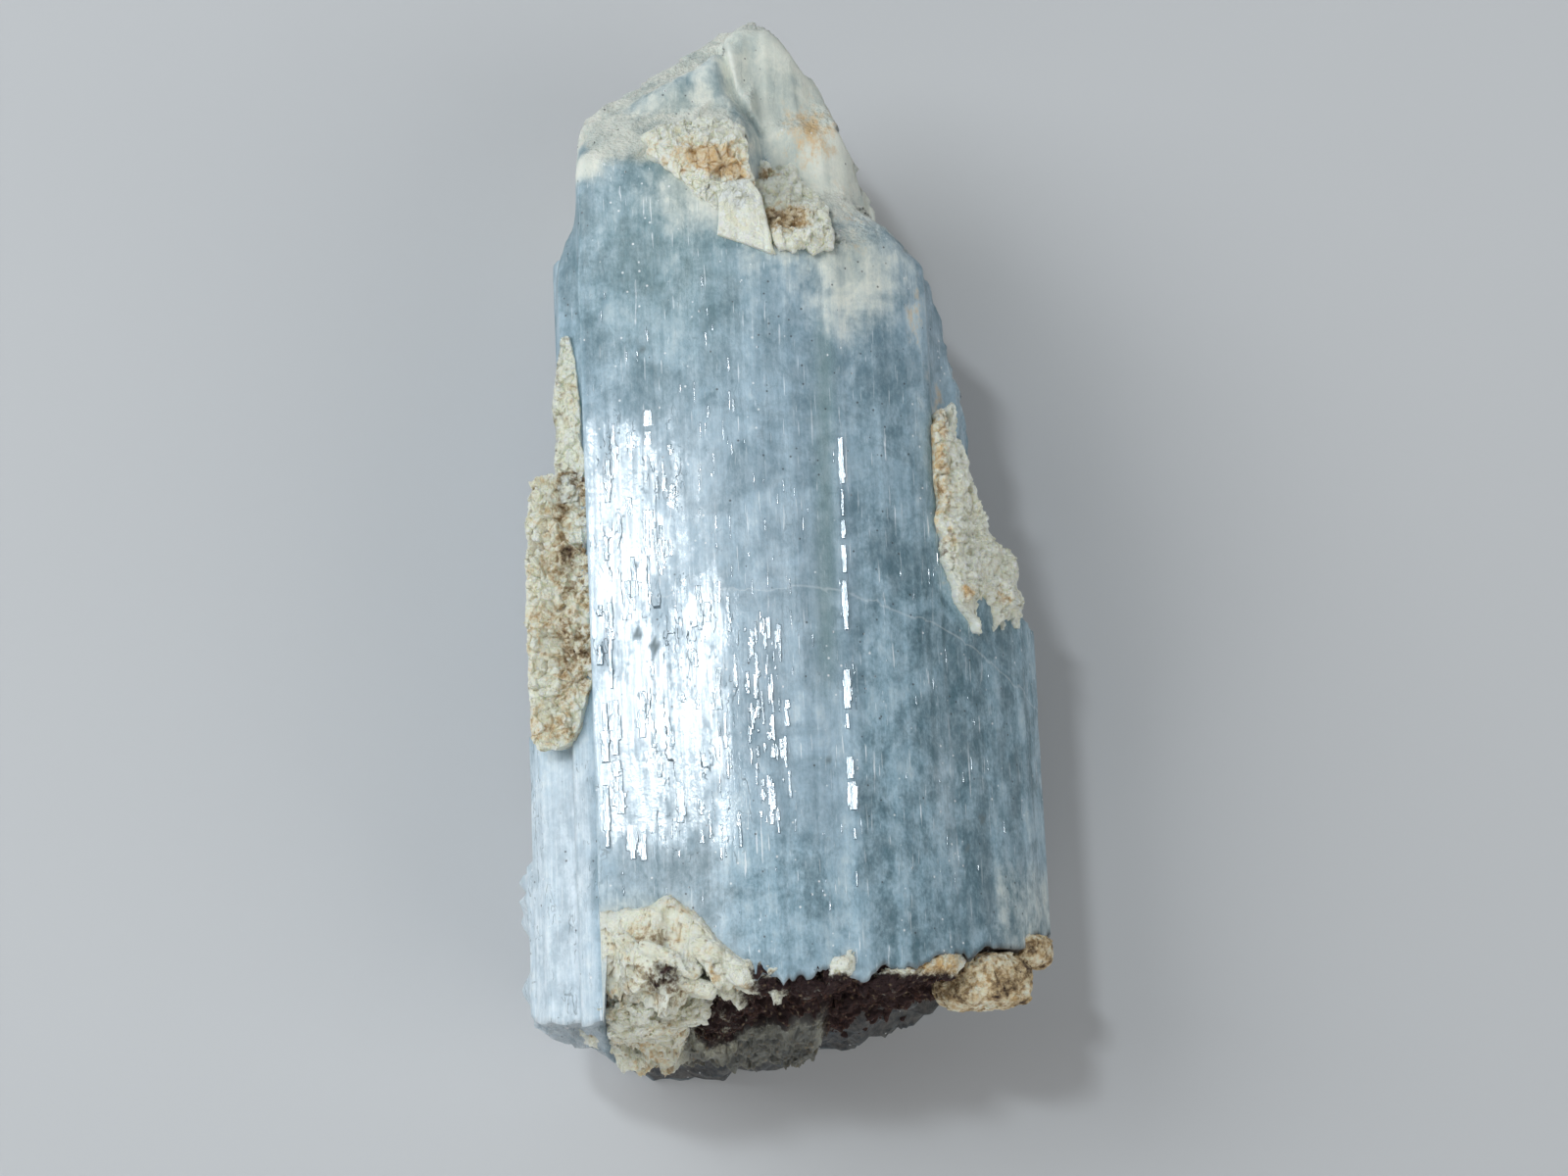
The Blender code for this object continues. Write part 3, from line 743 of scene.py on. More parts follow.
def base_features(u, v):
    """The base crust: a shelf level with the front at its left, which ends in a ridge, a cream mass below
    it, a dark granular break, brown deepened by painted shade, pointed teeth at the front edge and, low on
    it, a smooth pale ledge.
    """
    wave = 0.6 * smooth_noise(u * 0.35, v * 0.35, 0.0, 306)
    left = rise(-u, 4.4, 6.4)
    chipped = rise(-u, 1.2, 4.6)
    shelf = left * (1.0 - rise(v + 0.5 * wave, 1.5, 4.0))
    lip = spot(u, v, -6.0, 2.1, 2.4, 0.7, 8)
    ridge = spot(u, v, -3.9, 0.5, 2.2, 0.75, 8) + 0.8 * spot(u, v, -3.0, 2.4, 1.8, 0.45, 20)
    mass = rise(-u - 0.1 * v + wave, 4.0, 5.4) * rise(v + wave, 5.8, 7.2) * (1.0 - rise(v, 14.5, 16.0))
    ledge_fall = np.where(u < LEDGE_TOP[0], LEDGE_FALLS[0], LEDGE_FALLS[1])
    ledge_top = LEDGE_TOP[1] + ledge_fall * (u - LEDGE_TOP[0]) + 0.7 * wave
    ledge = rise(v - ledge_top, -0.1, 0.4) * (1.0 - rise(u, 0.6, 1.6))
    teeth = 0.6 * spot(u, v, -1.3, 0.8, 0.9, 0.9, 20) + 0.5 * spot(u, v, 1.7, 0.5, 0.8, 0.8, -25)
    glassy = 0.4 * rise(u, 4.9, 5.4) * (1.0 - rise(v, 3.5, 4.5))
    rim = chipped * (1.0 - rise(v, 0.0, 0.5))
    pale = np.clip(shelf + lip + ridge + mass + teeth + rim, 0.0, 1.0)
    dark = (1.0 - pale) * (1.0 - ledge) * (1.0 - 0.8 * glassy)

    height = 2.7 * shelf * rise(v, -0.4, 0.8) + 0.7 * lip + 1.0 * ridge * rise(v, -0.5, 0.4) + 1.3 * mass
    height = height + 0.8 * chipped * rise(v, 0.3, 2.0) * (1.0 - rise(v, 11.0, 14.0))
    height = height + 0.8 * teeth + 0.7 * ledge - 0.5 * dark * rise(u, -4.0, -1.0)
    patchy = rise(rough_noise(u * 0.8, v * 1.1, 0.0, 3, 308), 0.08, 0.35) * rise(v, 1.5, 3.0)
    rust = 0.6 * spot(u, v, -3.6, 0.7, 1.6, 0.4, 14) + 0.4 * mass + 0.4 * shelf + 0.3 * patchy
    # The break's brown is deepened partly as painted shade.
    brown = dark * (0.75 + 0.5 * rise(u, -4.5, -1.0))
    brown = brown + 0.6 * spot(u, v, -6.6, 0.9, 1.5, 0.7, 12) + 0.45 * spot(u, v, -7.6, 5.6, 1.6, 0.8, 10)
    brown = brown + 0.4 * patchy * pale
    return height, {"brown": brown, "grey": ledge * (1.0 - mass), "rust": rust}


# Each crust's stations along the crystal are (y, left edge, right edge). BASE_STATIONS has v for y.
SLAB_STATIONS = [
    (-7.2, -13.3, -11.4), (-6.2, -13.4, -10.7), (-4.0, -13.35, -10.1), (2.0, -13.2, -9.9),
    (5.6, -13.15, -9.8), (7.3, -13.0, -9.9),
]
STRIP_STATIONS = [
    (5.6, -11.8, -10.1), (7.0, -11.7, -10.1), (9.5, -11.5, -10.2), (11.2, -11.8, -10.2), (12.2, -11.5, -10.3),
    (14.6, -11.3, -10.5),
]
SHOULDER_STATIONS = [
    (-1.3, 9.5, 12.4), (-0.4, 9.2, 12.8), (0.9, 8.75, 12.95), (1.8, 8.55, 12.6), (2.65, 8.45, 11.95),
    (4.2, 8.3, 10.75), (5.9, 8.25, 10.05), (9.0, 8.25, 9.5), (9.9, 8.4, 9.2),
]
CAP_STATIONS = [
    (20.4, -3.6, -0.4), (21.6, -4.3, -0.5), (22.5, -5.0, -0.6), (23.7, -6.1, -0.7), (24.8, -6.4, -0.8),
    (25.9, -5.4, -1.4),
]
PLATE_STATIONS = [(17.75, 0.05, 0.45), (18.9, -2.65, 0.15), (21.9, -2.4, -0.45)]
HOLLOW_STATIONS = [
    (17.9, 0.2, 3.5), (18.8, -0.1, 3.6), (21.0, -0.5, 3.0), (22.4, -0.9, 2.0), (23.4, -1.1, 1.7),
    (25.2, -1.5, 0.6),
]
BASE_STATIONS = [
    (-0.3, -10.6, 6.9), (2.0, -10.6, 7.3), (3.5, -10.8, 7.8), (8.0, -11.2, 8.5), (11.0, -10.4, 8.3),
    (14.0, -9.0, 7.4), (17.5, -7.4, 5.6),
]
# How far left the base's chip reaches, and how far left its crust may stand on the front.
CHIP_LEFT = -9.3
TERRACE_LEFT = -9.98
# The pale ledge's highest point as (u, v), and how fast its top edge falls away to the left and to the right.
LEDGE_TOP = (-8.0, 12.6)
LEDGE_FALLS = (0.55, -0.42)
# The height of the front face's edge across x, where the break begins.
FRONT_EDGE = [
    (-10.5, 21.2), (-6.0, 21.7), (-4.0, 21.9), (-1.5, 21.55), (0.8, 21.35), (3.5, 20.7), (5.2, 19.9),
    (6.8, 19.05), (8.2, 17.9),
]

# The surfaces that the crusts lie on: profiles of z across the crystal, by x, and along it, by y.
LEFT_SIDE = over_surface([(-13.4, 18.3), (-10.0, 19.5)], [(-8.0, 0.0), (7.0, 0.0), (14.0, -0.3)])
SHOULDER_SIDE = over_surface(
    [(8.2, 18.8), (9.3, 18.1), (10.6, 16.7), (11.8, 15.1), (12.6, 13.8), (13.2, 12.8)],
    [(-3.0, 0.0), (11.0, 0.0)])
TOP_SIDE = over_surface(
    [(-7.0, 21.4), (-2.9, 21.9), (0.5, 21.8)], [(17.0, 0.0), (23.4, 0.0), (26.5, -2.9)], 0.4)
HOLLOW_SIDE = over_surface(
    [(-1.5, 21.8), (4.0, 21.3)],
    [(17.0, 0.0), (18.5, 0.0), (21.6, -2.7), (24.0, -4.7), (27.0, -4.8)], 0.3)


def left_slab():
    """The granular slab on the left side, with the thin strip above it."""
    slab = crust_grid(
        SLAB_STATIONS, LEFT_SIDE, slab_features, seed=310, size=(330, 110), thick=0.25, ragged=0.25,
        skirt=0.16, sunk=3.6, coarse=0.8, bank=0.06, round_off=0.05)
    strip = crust_grid(
        STRIP_STATIONS, LEFT_SIDE, strip_features, seed=320, size=(170, 50), thick=-0.1, ragged=0.2,
        skirt=0.25, sunk=2.6, coarse=0.5)
    return crust_piece("left_slab_crust", [slab, strip])


def right_shoulder():
    """The cream crust on the right shoulder."""
    sheet = crust_grid(
        SHOULDER_STATIONS, SHOULDER_SIDE, shoulder_features, seed=331, size=(280, 130), thick=0.25,
        ragged=0.5, skirt=0.14, sunk=2.4, coarse=0.6, bank=0.08, round_off=0.04, fringe=1.6)
    return crust_piece("right_shoulder_crust", [sheet])


def top_crust():
    """The raised cream crust near the summit, the flat plate below it and the orange hollow beside that."""
    cap = crust_grid(
        CAP_STATIONS, TOP_SIDE, cap_features, seed=340, size=(180, 190), thick=0.4, ragged=0.6, skirt=0.14,
        sunk=2.4, coarse=0.75, bank=0.2, round_off=0.1)
    plate = crust_grid(
        PLATE_STATIONS, TOP_SIDE, plate_features, seed=350, size=(110, 90), thick=0.35, ragged=0.06,
        skirt=0.12, sunk=1.6, coarse=0.12)
    hollow = crust_grid(
        HOLLOW_STATIONS, HOLLOW_SIDE, hollow_features, seed=361, size=(200, 140), thick=0.7, ragged=0.45,
        skirt=0.14, sunk=2.4, coarse=0.8, bank=0.12, round_off=0.05)
    return crust_piece("top_crust_skin", [cap, plate, hollow])


def base_crust():
    """The crust over the lower edge: the cream shelf and mass, the dark granular break and the pale ledge."""
    sheet = crust_grid(
        BASE_STATIONS, on_base, base_features, seed=370, size=(300, 310), thick=0.2, ragged=0.2, skirt=0.035,
        sunk=2.0, coarse=1.0, bank=0.03, round_off=0.0)
    return crust_piece("base_crust_skin", [sheet])


# The base's lumps, as lump_grid takes them: (middle, half sizes, turn, swing, seed, rows and columns,
# squareness, coarseness). First the blocks of the cream mass, then the slivers on its ridge and the wedges
# along the break.
BASE_WEDGES = [
    ((-8.2, -20.9, 15.6), (1.9, 1.3, 2.6), 15, 0, 374, (90, 120), 3.0, 0.7),
    ((-10.1, -21.2, 13.8), (1.2, 0.9, 1.5), 35, 0, 375, (60, 90), 3.0, 0.6),
    ((-6.0, -20.7, 17.6), (1.3, 0.9, 1.2), -20, 0, 376, (60, 90), 3.0, 0.7),
    ((-9.0, -20.6, 18.4), (1.1, 1.0, 1.4), 20, 0, 377, (60, 90), 3.0, 0.7),
    ((-3.8, -19.0, 21.5), (1.9, 0.6, 0.8), 8, -38, 401, (70, 100), 4.0, 0.35),
    ((-6.6, -18.7, 21.5), (1.7, 0.45, 0.9), 12, -28, 402, (70, 100), 4.0, 0.35),
    ((-8.4, -18.0, 21.4), (1.0, 0.4, 0.8), 10, -50, 403, (60, 90), 4.0, 0.35),
    ((-5.6, -19.9, 20.9), (1.3, 0.45, 0.8), 12, -20, 408, (60, 90), 4.0, 0.35),
    ((-1.7, -19.6, 21.1), (1.7, 1.0, 0.9), 5, 20, 404, (70, 100), 1.5, 0.5),
    ((0.2, -20.1, 20.9), (1.2, 0.7, 0.9), 5, -15, 409, (70, 100), 1.5, 0.5),
    ((1.9, -19.6, 20.9), (0.8, 1.4, 0.9), 8, -40, 405, (70, 100), 1.4, 0.4),
    ((4.6, -19.9, 19.8), (1.6, 0.8, 1.0), 25, 10, 406, (70, 100), 1.5, 0.5),
    ((6.9, -19.2, 18.3), (1.9, 0.8, 1.1), 35, 15, 407, (70, 100), 1.7, 0.5),
]
CORNER_LUMPS = [
    ((9.4, -19.8, 14.8), (2.2, 1.4, 2.2), 40, 0, 380, (90, 140), 3.5, 0.3),
    ((11.5, -18.1, 12.7), (1.5, 0.9, 1.7), 60, 0, 390, (60, 100), 3.5, 0.25),
]


def base_wedges():
    """The lumps and wedges that stand out of the base's crust, browner where they reach into the break."""
    lumps = [lump_grid(*row) for row in BASE_WEDGES]
    for grid, _, numbers in lumps:
        x, y = grid[..., 0], grid[..., 1]
        numbers["brown"] = 0.9 * rise(-y, 19.3, 20.1) * rise(x, -3.0, -1.5)
        numbers["rust"] = 0.25 + 0.4 * rise(x, 3.0, 6.0)
    return crust_piece("base_wedges_skin", [], lumps)


def base_lumps():
    """The two tan lumps at the lower right corner, browned partly as painted shade, most in their hollows."""
    lumps = [lump_grid(*row) for row in CORNER_LUMPS]
    for _, _, numbers in lumps:
        numbers["brown"] = 0.34 + 0.3 * numbers["hollow"]
        numbers["rust"] = 0.8
    return crust_piece("base_lump_skin", [], lumps)


# ---------------------------------------------------------------- the crystal's piece

# The flat-bottomed pits in the front: (x, y, half width, half height).
PITS = [
    (-6.7, -2.62, 0.3, 0.42), (-7.6, 1.56, 0.26, 0.22), (-7.55, -1.95, 0.34, 0.3), (-6.73, 12.99, 0.2, 0.2),
    (1.84, -8.95, 0.16, 0.2), (9.74, -11.55, 0.28, 0.34), (8.9, -13.2, 0.14, 0.14),
]
# The right edge of the front's sheen, as x at each y.
SHEEN_RIGHT = [(-4.0, -2.2), (0.0, -3.0), (2.0, -4.2), (9.0, -4.8)]


def sheen_area(x, y, z, broken):
    """Where the front's left face mirrors the light, with ragged edges at its right, top and foot."""
    waver = rough_noise(x * 0.7, y * 0.22, 0.0, 3, 403)
    right = np.interp(y, *np.array(SHEEN_RIGHT).T)
    sheen = mirror_face(x, y, z) * (1.0 - broken) * (1.0 - rise(x - right + 1.6 * waver, -1.6, 1.6))
    return sheen * (1.0 - rise(y + 2.0 * waver, 7.8, 11.0)) * rise(y + 2.0 * waver, -14.5, -11.5)


def pit_area(x, y, front):
    """The diamond-shaped pits, each 1 inside its edge."""
    pit = np.zeros(x.shape)
    for pit_x, pit_y, half_x, half_y in PITS:
        off = np.abs(x - pit_x) / half_x + np.abs(y - pit_y) / half_y
        pit = np.maximum(pit, 1.0 - rise(off, 0.7, 1.2))
    return pit * front


def cream_area(x, y, z, front, broken, facet):
    """Where the beryl is cream: the summit right of its cleft, the breaks under it and parts of the front."""
    right_of_cleft = rise(x - np.interp(y, *np.array(CLEFT).T), -0.2, 0.5)
    summit = rise(y, 22.5, 26.0) * (0.85 + 0.25 * smooth_noise(x * 0.5, y * 0.15, z * 0.5, 401))
    summit = summit * (1.0 - 0.5 * (1.0 - right_of_cleft) * rise(z, 13.5, 15.5) * rise(y, 24.5, 26.0))
    rim = broken * rise(y, 20.0, 23.0) * rise(-x, 0.5, 2.5)
    return np.maximum.reduce([
        1.15 * summit,
        0.4 * facet,
        0.95 * rim,
        0.5 * broken * rise(y, 16.0, 20.0),
        1.1 * rise(x, -0.6, 1.0) * rise(y, 19.0, 22.0),
        0.5 * rise(-x, 4.6, 6.0) * rise(-y, 14.2, 16.6) * rise(z, 20.0, 21.0),
        1.2 * spot(x, y, -9.5, 23.4, 0.9, 1.0),
        0.7 * spot(x, y, -3.6, 26.6, 3.4, 3.0),
        0.5 * spot(x, y, 0.9, 19.0, 2.6, 2.6) * front,
        0.9 * spot(x, y, 4.4, 17.4, 2.8, 4.4) * front,
        1.0 * spot(x, y, -2.8, 22.2, 2.9, 2.8, -20) * front,
    ])


def rust_area(x, y, z, front):
    """Where iron has stained the beryl: by the top crust, on the summit's right and down the right edge."""
    rust = 1.0 * spot(x, y, 2.5, 25.8, 1.5, 2.2) * rise(z, 10.0, 14.0)
    rust = rust + 0.5 * spot(x, y, -4.6, 24.6, 2.2, 1.0) + 0.4 * spot(x, y, -0.4, 22.2, 1.0, 1.4)
    rust = rust + 0.45 * spot(x, y, 4.6, 20.4, 0.9, 3.2) * front
    rust = rust + 0.5 * spot(x, y, 7.6, 14.5, 0.7, 2.5) * front
    return rust + 0.5 * bump_at(x, 8.7, 0.5) * rise(y, -1.5, 1.0) * (1.0 - rise(y, 11.0, 14.0))


def green_area(x, y, z, front):
    """Where the skin is grey-green: a line beside the ridge, the cleft, the upper left and the summit. In
    the cleft and on the upper left it is painted shade.
    """
    upper = rise(z, 14.0, 16.0)
    line = bump_at(x - 0.04 * y, 2.15, 0.55) * rise(y, -8.0, -2.0) * (1.0 - rise(y, 12.0, 17.0))
    green = 0.9 * line + 0.8 * spot(x, y, 2.5, 22.4, 1.1, 1.2) * upper
    # Painted shade in the cleft.
    green = green + 0.5 * spot(x, y, -1.1, 27.3, 0.5, 2.4, 25) * upper
    return green + 0.8 * spot(x, y, -5.2, 19.5, 5.2, 7.5) * front + 0.9 * spot(x, y, -3.6, 26.8, 3.0, 2.6)


def teal_area(x, y, front, facet):
    """Where the beryl is deeper and more teal: the lower right, the upper left and above the base. It is
    partly the beryl's own colour and partly painted shade.
    """
    teal = rise(x, 4.5, 7.5) * (1.0 - rise(y, -4.0, 6.0))
    teal = teal + 0.6 * rise(x, 3.0, 4.5) * (1.0 - rise(y, 8.0, 16.0))
    teal = teal + 1.4 * spot(x, y, -6.3, 17.6, 4.4, 6.0) * front + 0.3 * spot(x, y, -4.3, 26.6, 3.2, 2.6)
    teal = teal + 1.2 * spot(x, y, -2.5, -16.8, 6.5, 3.4) * front
    teal = teal + 1.1 * spot(x, y, 4.8, -11.0, 1.7, 7.0) * front
    return teal + 0.7 * facet + 0.8 * spot(x, y, -3.5, -14.6, 5.5, 2.4) * front


def milk_and_light_area(x, y, z, front):
    """Where the beryl is milkiest: the left terraces, streaks low on the right, and the front's left half.
    On the lower left terraces and in the front's middle its white is partly painted light.
    """
    streaks = rough_noise(x * 0.5, y * 0.2, z * 0.3, 3, 405)
    # The lower left terraces' white is partly painted light, where they face the key light.
    milk_and_light = rise(-x, 9.9, 10.8) * (1.0 - rise(y, -10.0, -3.0))
    milk_and_light = milk_and_light + 0.6 * rise(x, 5.5, 8.0) * (1.0 - rise(y, -8.0, -4.0)) * streaks
    milk_and_light = milk_and_light + 0.35 * rise(-x, 2.0, 4.0) * front * rise(z, 19.0, 20.0) * (1.0 - rise(y, 6.0, 11.0))
    # A glow painted into the front's middle.
    return milk_and_light + 0.3 * spot(x, y, -0.6, -1.5, 2.0, 8.0) * front


def base_area(x, z):
    """The broken base's stain and painted shade: the cap's rings and, more faintly, the side's first row."""
    base = np.zeros(x.shape)
    base[:CAP_RINGS] = 1.0
    base[CAP_RINGS] = 0.6
    return base * (1.0 - 0.8 * rise(-x, 9.0, 10.5)) * (0.9 + 0.1 * rise(z, 3.0, 12.0))


def crystal_surface():
    """The crystal's skin with its numbers, each from 0 to 1, and the grid that it is made of."""
    grid, broken = crystal_grid()
    x, y, z = (grid[..., i] for i in range(3))
    front = rise(z, 12.0, 17.0)
    facet = rise(x, 9.2, 10.8) * rise(-y, 12.6, 15.2) * rise(z, 8.0, 11.0)
    numbers = {
        "broken": broken,
        "cream": cream_area(x, y, z, front, broken, facet),
        "rust": rust_area(x, y, z, front),
        "green": green_area(x, y, z, front),
        "teal": teal_area(x, y, front, facet),
        "milk_and_light": milk_and_light_area(x, y, z, front),
        "base": base_area(x, z),
        "mirror": sheen_area(x, y, z, broken),
        "pit": pit_area(x, y, front),
    }
    piece = put_mesh("crystal_surface", [shut_tube(grid, grid[0].mean(axis=0), grid[-1].mean(axis=0))])
    for name, values in numbers.items():
        values = np.clip(values, 0.0, 1.0)
        keep_number(piece, name, np.concatenate([values.ravel(), [values[0].mean(), values[-1].mean()]]))
    return piece, grid


# The flakes that stand out of the front: the ridge's, listed as (y from, y to, half width), then bands of
# small ones, as (how many, x from, x to, y from, y to, longest, widest half, highest).
RIDGE_FLAKES = [
    (8.0, 5.5, 0.2), (5.25, 3.8, 0.1), (3.6, 2.6, 0.15), (2.3, 0.8, 0.17), (0.45, -2.2, 0.2),
    (-4.2, -6.3, 0.24), (-6.5, -7.3, 0.12), (-8.7, -9.9, 0.24), (-10.0, -11.5, 0.32), (-12.4, -13.0, 0.08),
    (-14.6, -15.4, 0.06),
]
FLAKE_BANDS = [
    (70, -2.1, -0.1, -12.0, -1.5, 1.5, 0.24, 0.05),
    (20, -1.4, 1.8, -5.0, 6.0, 0.9, 0.05, 0.04),
    (18, 2.4, 3.6, -13.0, 7.0, 0.9, 0.05, 0.05),
    (46, -9.6, -5.2, -13.0, 9.5, 3.4, 0.4, 0.025),
    (16, -5.0, -2.6, -13.0, 0.0, 2.4, 0.3, 0.025),
    (40, -4.2, -1.6, -13.0, 11.0, 1.4, 0.07, 0.03),
    (26, 5.0, 11.0, -15.0, 2.0, 1.0, 0.04, 0.03),
    (24, -9.8, 2.5, -17.0, -12.0, 0.8, 0.08, 0.03),
    (14, -9.4, -0.5, 9.0, 17.0, 1.2, 0.1, 0.02),
]
# The ridge's line, as x at each y, and how far its flakes stand out.
RIDGE = [(-18.2, 2.99), (-12.0, 3.03), (-8.0, 2.9), (0.1, 3.12), (8.0, 3.27)]
RIDGE_FLAKE_HEIGHT = 0.11
# A flake's steps, the gap between two of them as a share of its half length, its bevel and its sunk depth.
FLAKE_STEPS = 6
FLAKE_GAP = 0.02
FLAKE_BEVEL = 0.03
FLAKE_SUNK = 0.2
FLAKE_PLACE_SEED, FLAKE_SHAPE_SEED = 7, 11


# The row that the front's right end is found on, the height that it lies above, and its columns.
FRONT_ROW, FRONT_LOWEST, FRONT_COLUMNS = 20, 10.0, 190


def front_height(grid, x, y):
    """The height of the crystal's front at each (x, y), read along the nearest row of its grid.

    A row's front part starts at its rightmost point on the upper half, from which x falls along the row.
    """
    side = grid[CAP_RINGS:]
    start = np.argmax(side[FRONT_ROW, :, 0] * (side[FRONT_ROW, :, 2] > FRONT_LOWEST))
    part = slice(start, start + FRONT_COLUMNS)
    rows = np.abs(side[:, CRYSTAL_COLUMNS // 2, 1][None, :] - y[:, None]).argmin(axis=1)
    return np.array([np.interp(-at, -side[row, part, 0], side[row, part, 2]) for row, at in zip(rows, x)])


def flake_list():
    """Every flake as arrays: middle x, middle y, half length, half width, how far it stands out."""
    start, stop, half_width = np.array(RIDGE_FLAKES).T
    ridge_y = (start + stop) / 2
    ridge_x = np.interp(ridge_y, *np.array(RIDGE).T)
    parts = [[ridge_x, ridge_y, (start - stop) / 2, half_width, np.full(len(start), RIDGE_FLAKE_HEIGHT)]]
    random = np.random.default_rng(FLAKE_PLACE_SEED)
    for count, x_from, x_to, y_from, y_to, longest, widest, highest in FLAKE_BANDS:
        x = random.uniform(x_from, x_to, count)
        y = random.uniform(y_from, y_to, count)
        length = longest / 2 * random.uniform(0.25, 1.0, count) ** 1.5
        width = np.minimum(widest * random.uniform(0.3, 1.0, count), length * 0.8)
        parts.append([x, y, length, width, highest * random.uniform(0.4, 1.0, count)])
    return [np.concatenate(columns) for columns in zip(*parts)]


def flake_outlines(length, width):
    """Each flake's corners in its own plane, as (across, along): up its right side, then down its left.

    Each step has its own reach to the left and to the right, so the outline breaks off in jogs.
    """
    random = np.random.default_rng(FLAKE_SHAPE_SEED)
    count, steps = len(length), FLAKE_STEPS
    cuts = np.sort(random.uniform(-0.8, 0.8, (count, steps - 1)), axis=1)
    cuts = np.concatenate([np.full((count, 1), -1.0), cuts, np.full((count, 1), 1.0)], axis=1)
    reach = random.uniform(0.35, 1.0, (2, count, steps))
    ridge = slice(len(RIDGE_FLAKES))
    reach[:, ridge] = 0.6 + 0.4 * reach[:, ridge]
    reach[:, :, (0, -1)] *= 0.8
    levels = np.stack([cuts[:, :-1] + FLAKE_GAP, cuts[:, 1:] - FLAKE_GAP], axis=-1).reshape(count, -1)
    right, left = (np.repeat(side, 2, axis=1) for side in reach)
    across = np.concatenate([right, -left[:, ::-1]], axis=1) * width[:, None]
    return across, np.concatenate([levels, levels[:, ::-1]], axis=1) * length[:, None]


def growth_flakes(grid):
    """Thin plates on the front, each of three rings of corners: its sunk foot, its rim and its bevelled top.

    The flat top leans so that it catches the light. Its walls' corners carry the number 1: painted shade.
    """
    x, y, length, width, height = flake_list()
    across, along = flake_outlines(length, width)
    middle_z = front_height(grid, x, y)
    lean_x = 0.112 + 0.0035 * (x + 6.3)
    lean_y = 0.0036 * (y + 0.9)
    rings = []
    for inset, lift in ((0.0, -FLAKE_SUNK), (0.0, 0.0 * height), (FLAKE_BEVEL, height)):
        dx = np.sign(across) * np.maximum(np.abs(across) - inset, 0.6 * np.abs(across))
        dy = along * (1.0 - np.minimum(inset / length, 0.2)[:, None])
        dz = np.broadcast_to(lift, height.shape)[:, None] + dx * lean_x[:, None] + dy * lean_y[:, None]
        rings.append(np.stack([x[:, None] + dx, y[:, None] + dy, middle_z[:, None] + dz], axis=-1))
    corners = np.concatenate(rings, axis=1)

    n = across.shape[1]
    i = np.arange(n)
    j = (i + 1) % n
    walls = np.concatenate([np.stack([i + k * n, j + k * n, j + (k + 1) * n, i + (k + 1) * n], axis=-1)
                            for k in (0, 1)])
    k = np.arange(n // 2 - 1)
    strip = np.stack([k, k + 1, n - 2 - k, n - 1 - k], axis=-1)
    quads = np.concatenate([walls, strip[:, ::-1], strip + 2 * n])
    starts = (np.arange(len(x)) * corners.shape[1])[:, None, None]
    body = (corners.reshape(-1, 3), (quads[None] + starts).reshape(-1, 4), np.zeros((0, 3), int))
    piece = put_mesh("growth_flakes", [body], smooth=False)
    edge = np.concatenate([np.ones(2 * n), np.zeros(n)])
    keep_number(piece, "edge", np.tile(edge, len(x)))
    return piece


# ---------------------------------------------------------------- materials

def new_material(name):
    """An empty node material and its tree."""
    material = bpy.data.materials.new(name)
    material.use_nodes = True
    material.node_tree.nodes.clear()
    return material, material.node_tree


def node(tree, kind, inputs=None, **settings):
    """A shader node with its settings, and its inputs filled from values or joined to other nodes."""
    made = tree.nodes.new("ShaderNode" + kind)
    for name, value in settings.items():
        setattr(made, name, value)
    for key, value in (inputs or {}).items():
        socket = made.inputs[key]
        if isinstance(value, bpy.types.NodeSocket):
            tree.links.new(value, socket)
        else:
            socket.default_value = value
    return made


def sums(tree, operation, *values):
    """The output of one Math node."""
    return node(tree, "Math", dict(enumerate(values)), operation=operation).outputs[0]


def times(tree, first, second):
    """Two values multiplied."""
    return sums(tree, "MULTIPLY", first, second)


def number(tree, name):
    """A number stored on the vertices."""
    return node(tree, "Attribute", attribute_name=name).outputs["Fac"]


def millimetres(tree):
    """The place on the piece in the crystal's own frame, in millimetres."""
    place = node(tree, "TexCoord").outputs["Object"]
    moved = node(tree, "VectorMath", {0: place, 1: tuple(ORIGIN)}, operation="SUBTRACT").outputs[0]
    return node(tree, "VectorMath", {0: moved, "Scale": 1.0 / METRES}, operation="SCALE").outputs[0]


def stretched(tree, place, scale):
    """The place multiplied by a scale for each axis."""
    return node(tree, "VectorMath", {0: place, 1: scale}, operation="MULTIPLY").outputs[0]


def shifted(tree, place, shift):
    """The place moved by a shift."""
    return node(tree, "VectorMath", {0: place, 1: shift}, operation="ADD").outputs[0]


def cloud(tree, place, scale, detail=4.0, rough=0.55, low=0.35, high=0.65, distortion=0.0):
    """Noise over the place, spread so that low and high become 0 and 1."""
    inputs = {"Vector": place, "Scale": scale, "Detail": detail, "Roughness": rough, "Distortion": distortion}
    noise = node(tree, "TexNoise", inputs).outputs["Fac"]
    return stretch(tree, noise, low, high)


def stretch(tree, value, low, high):
    """The value spread smoothly so that low and high become 0 and 1."""
    inputs = {"Value": value, "From Min": low, "From Max": high}
    return node(tree, "MapRange", inputs, interpolation_type="SMOOTHSTEP").outputs[0]


def mixed(tree, share, first, second):
    """Two colours mixed by a share."""
    made = node(tree, "Mix", {"Factor": share}, data_type="RGBA")
    for socket, value in ((made.inputs[6], first), (made.inputs[7], second)):
        if isinstance(value, bpy.types.NodeSocket):
            tree.links.new(value, socket)
        else:
            socket.default_value = (*value[:3], 1.0)
    return made.outputs[2]


def raised(tree, height, distance):
    """A bump of the height, distance millimetres high."""
    inputs = {"Height": height, "Distance": distance * METRES, "Strength": 1.0}
    return node(tree, "Bump", inputs).outputs[0]


def finish_material(tree, shader):
    """The shader joined to the output."""
    node(tree, "OutputMaterial", {"Surface": shader.outputs[0]})


